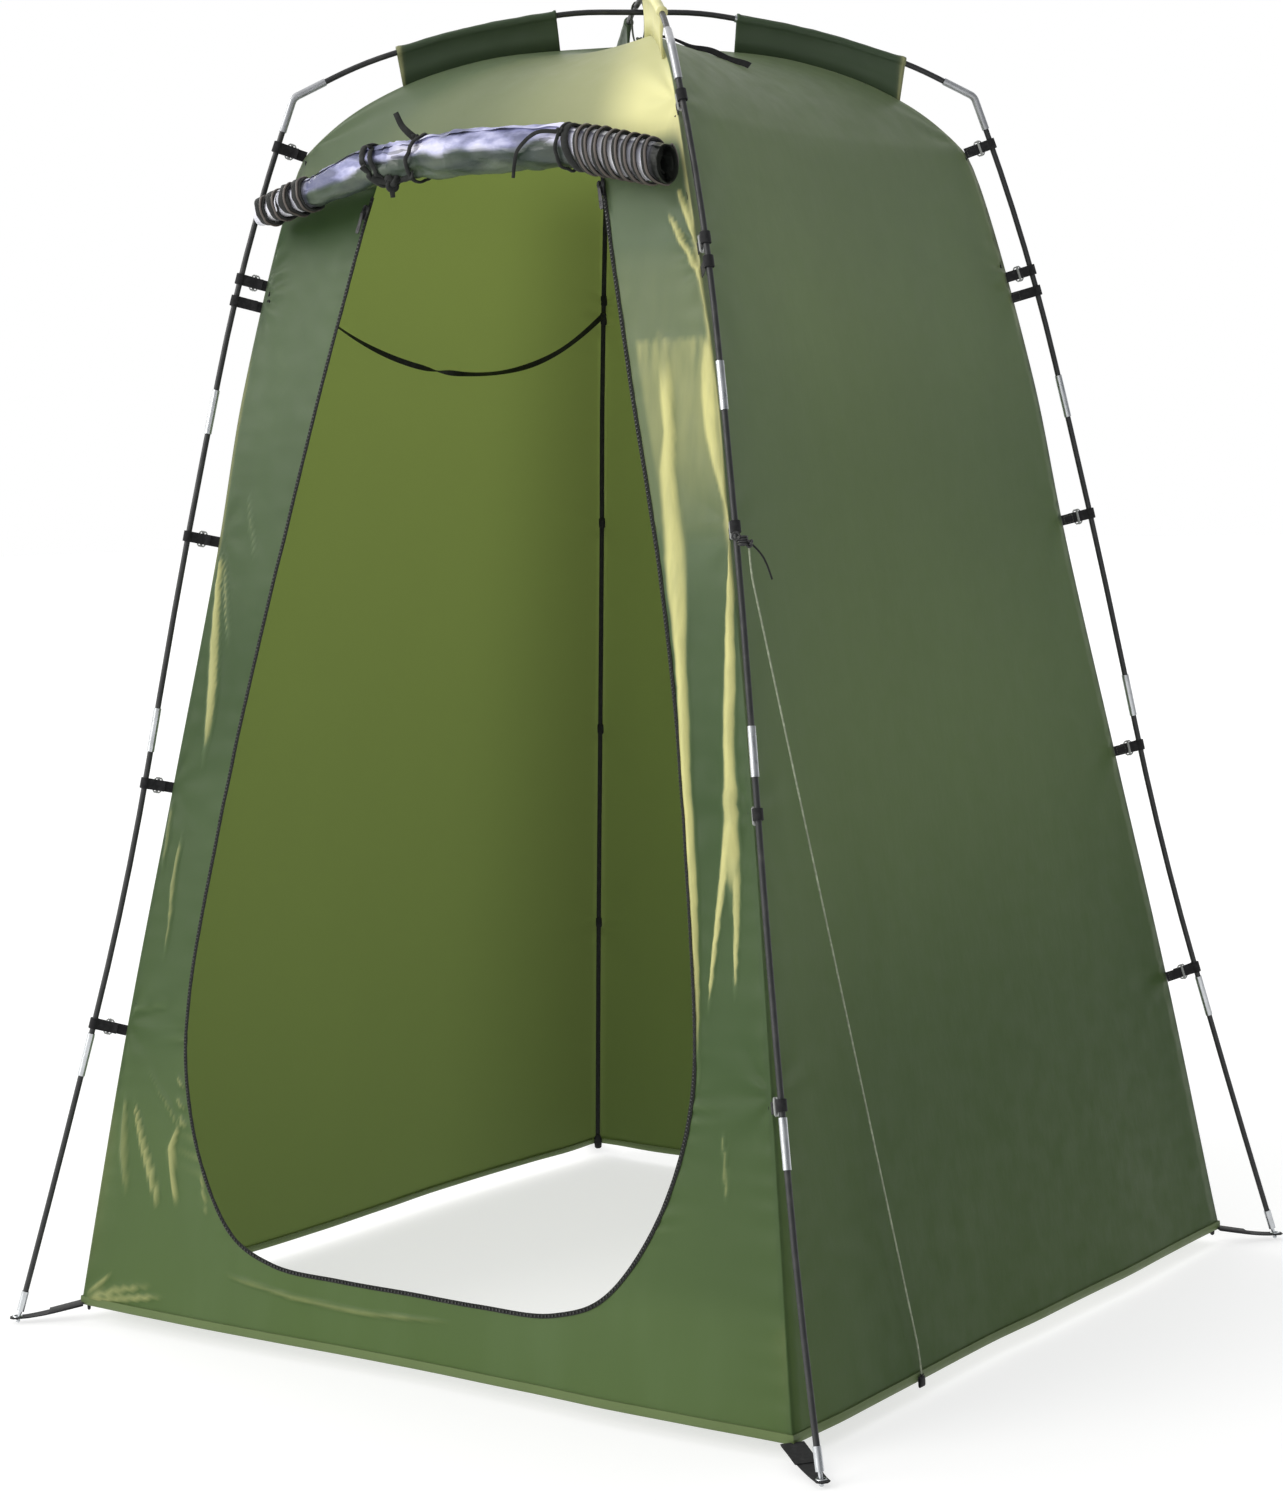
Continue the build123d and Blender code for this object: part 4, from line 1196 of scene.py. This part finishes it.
def make_foot_straps():
    bands, eyelets = [], []
    for corner, (sx, sy) in CORNERS.items():
        pin = MOUNTS[f"foot_{corner}"]
        hem = seam(corner, 0.0)
        away = Vector((pin.x - hem.x, pin.y - hem.y, 0))
        length = away.length
        away.normalize()
        line = [(-0.002, 0.0215), (length * 0.25, 0.0165), (length * 0.55, 0.0112),
                (length - 0.016, 0.0080), (length, 0.0074), (length + 0.010, 0.0074)]
        path = through([Vector((hem.x, hem.y, z)) + away * x for x, z in line], 6)
        shares = [i / (len(path) - 1) for i in range(len(path))]
        sizes = [(1.45 - 0.55 * smooth(0.0, 0.8, s) - 0.45 * smooth(0.9, 1.0, s), 1)
                 for s in shares]
        bands.append(swept(path, band(0.0205, 0.0016), UP, size=sizes))
        patch = [p + UP * 0.0016 for p in path[:12]]
        bands.append(swept(patch, band(0.0205, 0.0014), UP, size=[(1.5, 1)] * 12))
        centre = Vector((pin.x - away.x * 0.0006, pin.y - away.y * 0.0006, 0.0088))
        eyelets.append(swept(ring_path(centre, UP, 0.0058, 28), round_section(0.0012, 8), UP,
                             closed=True))
    straps = many("foot_webbing", bands, WEBBING)
    rings = many("foot_eyelets", eyelets, STEEL)
    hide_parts("foot_straps")


make_foot_straps()


# ---------- knot, hem loop, anchors, crown, roof tail ----------
X_AXIS, Y_AXIS = Vector((1, 0, 0)), Vector((0, 1, 0))


def trefoil(centre, size, section, x=X_AXIS, y=UP, z=Y_AXIS, count=60):
    """A knot: a cord's section swept along a trefoil that faces along z."""
    path = []
    for i in range(count):
        a = 2 * math.pi * i / count
        path.append(centre + (x * (math.sin(a) + 2 * math.sin(2 * a))
                              + y * (math.cos(a) - 2 * math.cos(2 * a))
                              - z * math.sin(3 * a)) * (size / 3))
    return swept(path, section, closed=True)


def make_knot():
    """The guy line's knot round the rod, and the ring beside it."""
    rod = Vector((-0.1486, 0.1403, 0.9789)).normalized()
    wraps = []
    for k in range(4):
        centre = GUY_TOP + rod * (0.0045 - 0.003 * k)
        turn = ring_path(centre, rod + Vector((0.05 * (k % 2), -0.04, 0)), 0.0056, 24)
        wraps.append(swept(turn, round_section(0.0014, 8), closed=True))
    ball = GUY_TOP + Vector((0.0080, 0.0028, -0.0030))
    wraps.append(trefoil(ball, 0.0046, round_section(0.0015, 8)))
    knot = many("guy_line_knot", wraps, KNOB, sharp=60)
    centre = GUY_TOP + Vector((-0.0032, -0.0098, 0.0060))
    turn = ring_path(centre, Vector((0.586, -0.81, 0.08)), 0.0046, 26)
    ring = many("guy_line_ring", [swept(turn, round_section(0.0013, 8), closed=True)], KNOB,
                sharp=60)
    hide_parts("guy_knot")


def make_hem_loop():
    lo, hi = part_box("guy_hem_loop")
    c = (lo + hi) / 2
    path = through([c + Vector((x, 0, z)) for x, z in (
        (-0.0012, 0.0068), (-0.0016, 0.0), (-0.0012, -0.0055), (0.0002, -0.0068), (0.0015, -0.0050),
        (0.0016, 0.0010), (0.0008, 0.0066))], 5)
    tape = swept(path, band(0.012, 0.0009), [(p - c).normalized() for p in path])
    knot = trefoil(c + Vector((0.0006, 0, 0.0075)), 0.0028, round_section(0.0009, 8),
                   Y_AXIS, UP, X_AXIS, 40)
    loop = many("hem_loop", [tape, knot], WEBBING, sharp=60)
    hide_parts("guy_hem_loop")


def make_anchors():
    """The tabs and rings that hold the line across the inside."""
    tabs = []
    for points in cad_islands("line_anchors"):
        c = middle(points)
        out = Vector((0, 1 if c.y > 0 else -1, 0.4)).normalized()
        tabs.append(swept([c + out * d for d in (-0.006, -0.004, 0.0, 0.004, 0.006)],
                          band(0.011, 0.0045), X_AXIS, size=[0.7, 0.95, 1, 0.95, 0.7]))
        tabs.append(swept(ring_path(c, out, 0.0042, 18), round_section(0.0011, 6), closed=True))
    anchors = many("inside_line_tabs", tabs, WEBBING, sharp=60)
    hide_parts("line_anchors")


def make_crown():
    """The tape bridge that ties the crossing rods to the top of the cloth."""
    lo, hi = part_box("crown_tie")
    base, top = lo.z, hi.z
    half = (hi.x - lo.x) / 2
    bridge = [(-half * 0.55, base), (-half, base + 0.018), (-half, top - 0.012),
              (-half * 0.6, top - 0.002), (0, top - 0.0006), (half * 0.6, top - 0.002),
              (half, top - 0.012), (half, base + 0.018), (half * 0.55, base)]
    path = through([Vector((x, 0.0006 * math.sin(i * 2.1), z))
                    for i, (x, z) in enumerate(bridge)], 7)
    tape = swept(path, band(0.0042, 0.0010), facings(path, Y_AXIS))
    knot = trefoil(Vector((0, 0.001, base + 0.006)), 0.0048, round_section(0.0012, 8), count=50)
    tie = many("crown_tape", [tape, knot], THREAD, sharp=60)
    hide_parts("crown_tie")


def make_roof_tail():
    """The end of webbing that lies on the roof, laid on the cloth from above."""
    course = through([Vector(p) for p in (
        (0.118, -0.112), (0.136, -0.084), (0.156, -0.060), (0.182, -0.046), (0.210, -0.037))], 6)
    path = []
    for i, place in enumerate(course):
        point, normal = SKIN.ray_cast(Vector((place.x, place.y, 2.2)), -UP)[:2]
        path.append(point + normal * (0.0040 + 0.0014 * math.sin(i * 0.6)))
    sizes = [(0.40 + 0.60 * smooth(2, 14, i), 1) for i in range(len(path))]
    tail = sweep("roof_tail", path, band(0.0100, 0.0014), WEBBING,
                 normals=Vector((0.50, -0.72, 0.48)), size=sizes)
    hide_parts("roof_webbing_tail")


for make in (make_knot, make_hem_loop, make_anchors, make_crown, make_roof_tail):
    make()


# ---------- rolled door ----------
def roll_stations():
    """(centre, radius) of the CAD roll at each of its stations, left to right."""
    groups = {}
    for v in NODES["door_roll"].data.vertices:
        groups.setdefault(round(v.co.x * 500), []).append(v.co)
    stations = []
    for group in groups.values():
        if len(group) > 12:
            lo, hi = (Vector((pick(p[k] for p in group) for k in range(3))) for pick in (min, max))
            stations.append(((lo + hi) / 2, (hi.z - lo.z) / 2))
    return sorted(stations, key=lambda s: s[0].x)


ROLL = roll_stations()
# How far to the right of their solids the ties sit.
TIE_SHIFTS = (0.019, 0.045, 0.022)
TIE_X = [middle(points).x + shift for points, shift in zip(
    sorted(cad_islands("roll_ties"), key=lambda g: middle(g).x), TIE_SHIFTS)]
WOUND_RIGHT, WOUND_LEFT = 0.205, -0.262  # where the wound ends of the roll begin


def roll_at(x):
    """(centre, radius) of the roll at a station, smoothed along its length."""
    xs = [c.x for c, _ in ROLL]
    x = min(max(x, xs[0]), xs[-1])
    y, z, radius = (np.interp(x, xs, values) for values in (
        [c.y for c, _ in ROLL], [c.z for c, _ in ROLL], [r for _, r in ROLL]))
    return Vector((x, y, z)), float(radius)


def roll_radius(x, a):
    """The outer layer's radius: pinched at the ties, puffed and creased between them."""
    _, radius = roll_at(x)
    pinch = sum(bell(x, tie, 0.016) for tie in TIE_X)
    ends = smooth(0.175, WOUND_RIGHT, x) + smooth(WOUND_LEFT, -0.285, x)
    plain = 1 - min(1, ends)
    tied = smooth(TIE_X[0], TIE_X[0] + 0.02, x) * smooth(TIE_X[1] + 0.05, TIE_X[1] + 0.01, x)
    creased = 0.0026 * ripple(x * 14 + 2 * math.sin(a), math.cos(a) * 1.3, math.sin(a) * 1.3)
    creased += 0.0020 * ripple(x * 42, math.cos(a - x * 9) * 2.0, math.sin(a - x * 9) * 2.0)
    sharp = abs(ripple(x * 24 + a * 0.4, math.cos(a) * 1.8 + 4, math.sin(a) * 1.8))
    gathers = sum(math.exp(-abs(x - tie) / 0.030) for tie in TIE_X)
    folds = 0.0034 * max(0.0, math.sin(3 * a + x * 28)) * gathers
    folds -= 0.0075 * tied * abs(ripple(x * 20 - a * 1.1, math.cos(a) * 2.2, math.sin(a) * 2.2 + 9))
    return (radius * (1 - 0.13 * min(pinch, 1)) - 0.0018 + creased * (0.3 + 0.7 * plain)
            + (folds - 0.0040 * sharp) * plain)


def lining_material():
    """The door's coated inner face: silver with a violet cast, green below (partly the door's green face, partly
    painted shade and painted reflection of the tent), and painted shade deep inside.
    """
    made = Nodes("door_lining", (0.33, 0.36, 0.43), 0.36, specular=0.4, sheen=0.0)
    patches = made.noise(16.0, 4.0, (0.8, 1.6, 1.6))
    shade = made.ramp(patches, [(0.34, (0.15, 0.16, 0.28)), (0.43, (0.40, 0.41, 0.66)),
                                (0.50, (0.70, 0.70, 0.96)), (0.62, (0.92, 0.90, 1.0))])
    pale = made.attribute("glow")
    shade = made.mix(pale, shade, (0.92, 0.92, 0.95))
    # Painted shade and painted reflection: darker green on the roll's underside.
    under = made.range(made.noise(26.0, 2.0, (0.35, 1.0, 1.0)), 0.40, 0.62)
    green = made.mix(under, (0.012, 0.030, 0.008), (0.085, 0.12, 0.062))
    shade = made.mix(made.attribute("under"), shade, green)
    # Painted shade in the roll's inner layers and its hollow right end.
    shade = made.mix(made.attribute("inner"), shade, (0.012, 0.014, 0.012))
    made.colour(shade)
    made.rough(made.range(made.noise(60.0, 3.0), 0.3, 0.7, 0.28, 0.46))
    facets = made.bump(made.cells(20.0, (0.45, 1.0, 1.0)), 0.016, 0.8)
    creases = made.bump(made.noise(30.0, 5.0, (0.6, 1.3, 1.3), 0.65), 0.0040, 0.8, facets)
    made.normal(made.bump(made.threads(0.0009), 0.0002, 0.4, creases))
    made.translucent((0.45, 0.48, 0.42), 0.06)
    return made.material


def make_roll():
    """The rolled cloth: one sheet wound from the core outwards."""
    turns, around, count = 8, 40, 140
    x0, x1 = ROLL[0][0].x + 0.001, ROLL[-1][0].x - 0.001
    xs = [x0 + (x1 - x0) * eased(i, count, 0.2) for i in range(count + 1)]
    total = turns * around
    verts, glow, under, inner = [], [], [], []
    for k in range(total + 1):
        a = 2 * math.pi * k / around + 2.2
        depth = 1 - k / total
        for x in xs:
            centre, radius = roll_at(x)
            r = roll_radius(x, a) * (1 - 0.62 * depth)
            shift = 0.004 * ripple(k * 0.05, 4.0) * depth
            drawn = 0.004 * depth * (-1 if x > 0 else 1) * smooth(0.25, 0.34, abs(x))
            verts.append(centre + Vector((shift + drawn, r * math.cos(a), r * math.sin(a))))
            end = max(smooth(0.185, WOUND_RIGHT, x), smooth(WOUND_LEFT, -0.28, x))
            glow.append(0.85 * end * smooth(0.25, 0.05, depth))
            # Painted shade and painted reflection on the underside, with a wavy edge.
            line = 0.65 * ripple(x * 7, 3.0) + 0.35 * ripple(x * 24, 8.0)
            under.append(0.95 * smooth(0.20, -0.12, math.sin(a) + line) * (1 - end))
            # Painted shade on the inner layers and in the hollow right end.
            inner.append(max(smooth(0.04, 0.40, depth), smooth(x1 - 0.016, x1 - 0.011, x)))
    faces = [[a, d, c, b] for a, b, c, d in lattice(total + 1, len(xs))]
    roll = add_mesh("rolled_door", verts, faces, lining_material(), "door")
    for name, values in (("glow", glow), ("under", under), ("inner", inner)):
        roll.data.attributes.new(name, "FLOAT", "POINT").data.foreach_set("value", values)
    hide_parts("door_roll")


make_roll()


def round_roll(x, a, lift=0.0):
    centre, _ = roll_at(x)
    r = roll_radius(x, a) + lift
    return centre + Vector((0, r * math.cos(a), r * math.sin(a)))


def make_roll_trim():
    """The door's zip tape wound round both ends, and the ties that hold the roll."""
    for side, first, last, turns, wide in (("right", 0.208, 0.333, 8, 0.0086),
                                           ("left", -0.357, WOUND_LEFT, 4, 0.0185)):
        steps = turns * 36
        path, out, sizes = [], [], []
        for i in range(steps + 1):
            s = i / steps
            a = 2 * math.pi * turns * s + 1.0
            x = first + (last - first) * s + 0.0025 * ripple(s * 23, 2.0)
            path.append(round_roll(x, a, 0.0021 + 0.0012 * ripple(s * 40, 7.0)))
            out.append(path[-1] - roll_at(x)[0])
            sizes.append((1 + 0.34 * ripple(s * 31, 5.0), 1))
        tape = sweep(f"roll_zip_tape_{side}", path, band(wide, 0.0022, 0.0007), TAPE, "door", out,
                     size=sizes, sharp=60)
        line = [p + n.normalized() * 0.0022 + X_AXIS * 0.0030 for p, n in zip(path, out)]
        coil = sweep(f"roll_zip_coil_{side}", line, band(0.0040, 0.0018, 0.0006), COILS, "door",
                     out, sharp=60)
        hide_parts(f"roll_zip_coils_{side}")
    ties, tails = [], []
    for x, width, slant in (
            (TIE_X[0] - 0.006, 0.0090, -0.012), (TIE_X[0] + 0.008, 0.0075, -0.013),
            (TIE_X[1], 0.0068, 0.007), (TIE_X[2], 0.0110, -0.007),
            (TIE_X[2] - 0.015, 0.0055, 0.004)):
        path, out = [], []
        for i in range(48):
            a = 2 * math.pi * i / 48
            place = x + slant * math.sin(a)
            centre, radius = roll_at(place)
            reach = max(roll_radius(place, a), radius * 0.86 - 0.0012) + 0.0026
            path.append(centre + Vector((0, reach * math.cos(a), reach * math.sin(a))))
            out.append(path[-1] - roll_at(place)[0])
        ties.append(swept(path, band(width, 0.0030, 0.0006), out, closed=True))

    def tail(points, width):
        path = through(points, 8)
        tails.append(swept(path, band(width, 0.0014), Vector((0.45, -0.85, 0.2)),
                           size=[(1 - 0.25 * i / len(path), 1) for i in range(len(path))]))

    def knot(place, size):
        ties.append(trefoil(place, size, round_section(size * 0.42, 8), count=50))

    under = -math.pi / 2 - 0.55
    low_knot = round_roll(TIE_X[0] + 0.036, under, 0.0065)
    knot(low_knot, 0.0095)
    tail([round_roll(TIE_X[0] + 0.008, under - 0.45, 0.0042),
          round_roll(TIE_X[0] + 0.020, under - 0.15, 0.0060), low_knot], 0.0110)
    tail([round_roll(TIE_X[1] + 0.004, under - 0.25, 0.0042),
          round_roll(TIE_X[1] - 0.012, under - 0.05, 0.0060), low_knot], 0.0090)
    tail([low_knot, low_knot + Vector((0.001, -0.002, -0.008)),
          low_knot + Vector((0.002, -0.002, -0.020))], 0.0085)
    crest = round_roll(TIE_X[1], math.pi * 0.64, 0.0035)
    knot(crest, 0.0050)
    tail([crest, crest + Vector((-0.009, -0.003, 0.008)), crest + Vector((-0.021, -0.002, 0.019)),
          crest + Vector((-0.032, 0.0, 0.036))], 0.0100)
    loose = round_roll(TIE_X[2] - 0.012, math.pi * 0.80, 0.0030)
    over = round_roll(TIE_X[2] - 0.045, math.pi * 0.86, 0.0055)
    mid = round_roll(TIE_X[2] - 0.072, math.pi * 1.04, 0.0060)
    low = round_roll(TIE_X[2] - 0.086, math.pi * 1.22, 0.0060)
    tail([loose, over, mid, low, low + Vector((-0.002, -0.001, -0.018))], 0.0058)
    knot(loose, 0.0045)
    bands = many("roll_tie_bands", ties, TAPE, "door", 60)
    ends = many("roll_tie_ends", tails, TAPE, "door", 60)
    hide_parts("roll_ties")


make_roll_trim()


def make_door_head():
    """The stretch of door between wall and roll; on the tent it draws out as the roll goes down, but this piece
    stays as built, on no body.
    """
    lo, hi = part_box("door_head")
    top_half, low_half = 0.188, min(0.300, hi.x - 0.012)
    rows, across = 60, 36
    verts = []
    for i in range(rows + 1):
        s = i / rows
        z = hi.z - 0.001 - (hi.z - lo.z - 0.002) * s
        half = top_half + (low_half - top_half) * s * s * (3 - 2 * s)
        for j in range(across + 1):
            x = half * (2 * j / across - 1)
            verts.append(Vector((x, front(x, z).y - 0.0056 - 0.0008 * ripple(x * 14, s * 9), z)))
    faces = [[a, d, c, b] for a, b, c, d in lattice(rows + 1, across + 1)]
    piece = add_mesh("door_head_cloth", verts, faces, OUTSIDE, None)
    piece.data.attributes.new("glow", "FLOAT", "POINT")
    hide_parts("door_head")
    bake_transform(piece)


make_door_head()


# ---------- zip sliders ----------
def make_sliders():
    for side in ("left", "right"):
        down = Vector(JOINTS[f"zip_{side}_slide"]["axis"]).normalized()
        pull = JOINTS[f"zip_{side}_pull"]
        across = -Vector(pull["axis"]).normalized()
        up = -down
        out = across.cross(up).normalized()
        hinge = Vector(pull["pos_m"])
        origin = hinge - out * 0.0063

        def at(x, y, z):
            return origin + across * x + up * y + out * z

        outline = [(-0.0038, -0.0095), (-0.0050, -0.0030), (-0.0062, 0.0045), (-0.0052, 0.0088),
                   (-0.0018, 0.0104), (0, 0.0085), (0.0018, 0.0104), (0.0052, 0.0088),
                   (0.0062, 0.0045), (0.0050, -0.0030), (0.0038, -0.0095), (0, -0.0105)]
        count = len(outline)
        verts = [at(x * k, y * k, z) for z, k in (
            (0.0002, 0.94), (0.0010, 1.0), (0.0036, 1.0), (0.0043, 0.90)) for x, y in outline]
        faces = lattice(4, count, True)
        faces += [list(reversed(range(count))), [3 * count + j for j in range(count)]]
        bridge = through([at(0, y, z) for y, z in (
            (-0.0075, 0.0038), (-0.0068, 0.0058), (-0.001, 0.0066), (0.0058, 0.0058),
            (0.0066, 0.0038))], 5)
        parts = [(verts, faces), swept(bridge, band(0.0030, 0.0011), across)]
        slider = many(f"slider_{side}", parts, ZIPPER, f"zip_slider_{side}", 35)
        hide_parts(f"zip_slider_{side}")
        # (half width, height over the tape, way down the tab)
        tab_line = [(0.0026, 0.0072, 0.0), (0.0022, 0.0084, -0.0022), (0.0026, 0.0076, -0.006),
                    (0.0031, 0.0072, -0.016), (0.0034, 0.0072, -0.027), (0.0024, 0.0072, -0.0305)]
        tab = swept([at(0, y, z) for _, z, y in tab_line], band(0.0068, 0.0015), out,
                    size=[(half / 0.0034, 1) for half, _, _ in tab_line])
        grip = [swept([at(x, y, 0.0083) for x in (-0.0023, 0.0023)], round_section(0.0004, 6), out)
                for y in (-0.020, -0.0225, -0.025)]
        pin = swept([at(x, 0.0, 0.0070) for x in (-0.0027, 0.0027)], round_section(0.0008, 8), out)
        piece = many(f"slider_tab_{side}", [tab, pin, *grip], ZIPPER, f"zip_pull_{side}", 35)
        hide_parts(f"zip_pull_{side}")


make_sliders()


# ---------- finishes of the CAD pieces that stay ----------
def finish_cad():
    finishes = {"leg_rods": RODS, "roof_rods": RODS, "leg_ferrules": STEEL, "roof_ferrules": STEEL,
                "elbows": ELBOW, "foot_tips": STEEL, "shock_cord": CORD}
    for name, node in NODES.items():
        for start, material in finishes.items():
            if name.startswith(start):
                node.data.materials.clear()
                node.data.materials.append(material)


finish_cad()


# ---------- stage ----------
def add_sun(name, place, target, strength, angle, colour):
    data = bpy.data.lights.new(name, "SUN")
    data.energy = strength
    data.color = colour
    data.angle = angle
    light = bpy.data.objects.new(name, data)
    light.location = place
    light.rotation_mode = "QUATERNION"
    light.rotation_quaternion = (Vector(target) - Vector(place)).to_track_quat("-Z", "Y")
    SCENE.collection.objects.link(light)


def make_world():
    """Light that falls off from the left to the right; the camera sees plain white behind."""
    world = bpy.data.worlds.new("world")
    world.use_nodes = True
    tree = world.node_tree
    place, split, ramp, path, seen = (tree.nodes.new(kind) for kind in (
        "ShaderNodeTexCoord", "ShaderNodeSeparateXYZ", "ShaderNodeValToRGB", "ShaderNodeLightPath",
        "ShaderNodeMixRGB"))
    bright, dim = ramp.color_ramp.elements
    bright.position, bright.color = 0.05, (1, 1, 1, 1)
    dim.position, dim.color = 0.75, (0.18, 0.19, 0.20, 1)
    seen.inputs["Color2"].default_value = (1, 1, 1, 1)
    background = tree.nodes["Background"]
    background.inputs["Strength"].default_value = 1.0
    for a, b in ((place.outputs["Generated"], split.inputs[0]),
                 (split.outputs["X"], ramp.inputs[0]),
                 (path.outputs["Is Camera Ray"], seen.inputs["Fac"]),
                 (ramp.outputs[0], seen.inputs["Color1"]),
                 (seen.outputs[0], background.inputs["Color"])):
        tree.links.new(a, b)
    SCENE.world = world


def make_stage():
    floor = Nodes("floor_pale", (0.9, 0.9, 0.9), 0.8, specular=0.1)
    clouds = floor.range(floor.noise(0.8, 2.0), 0.3, 0.7, 0, 0.4)
    floor.colour(floor.mix(clouds, (0.42, 0.42, 0.42), (0.40, 0.40, 0.40)))
    floor.shader.inputs["Emission Color"].default_value = (1, 1, 1, 1)
    floor.shader.inputs["Emission Strength"].default_value = 0.66
    far = 60
    corners = [(x * far, y * far, -0.0005) for x, y in ((-1, -1), (1, -1), (1, 1), (-1, 1))]
    add_mesh("floor", corners, [[0, 1, 2, 3]], floor.material, None)
    make_world()
    add_sun("key", (-2.4, -3.8, 3.1), (0, 0, 0.9), 1.5, 0.6, (1.0, 0.99, 0.95))
    add_sun("back_sun", (-4.0, 0.9, 2.8), (0, 0, 1.0), 0.7, 0.4, (1.0, 0.98, 0.92))
    SCENE.view_settings.view_transform = "Standard"


make_stage()
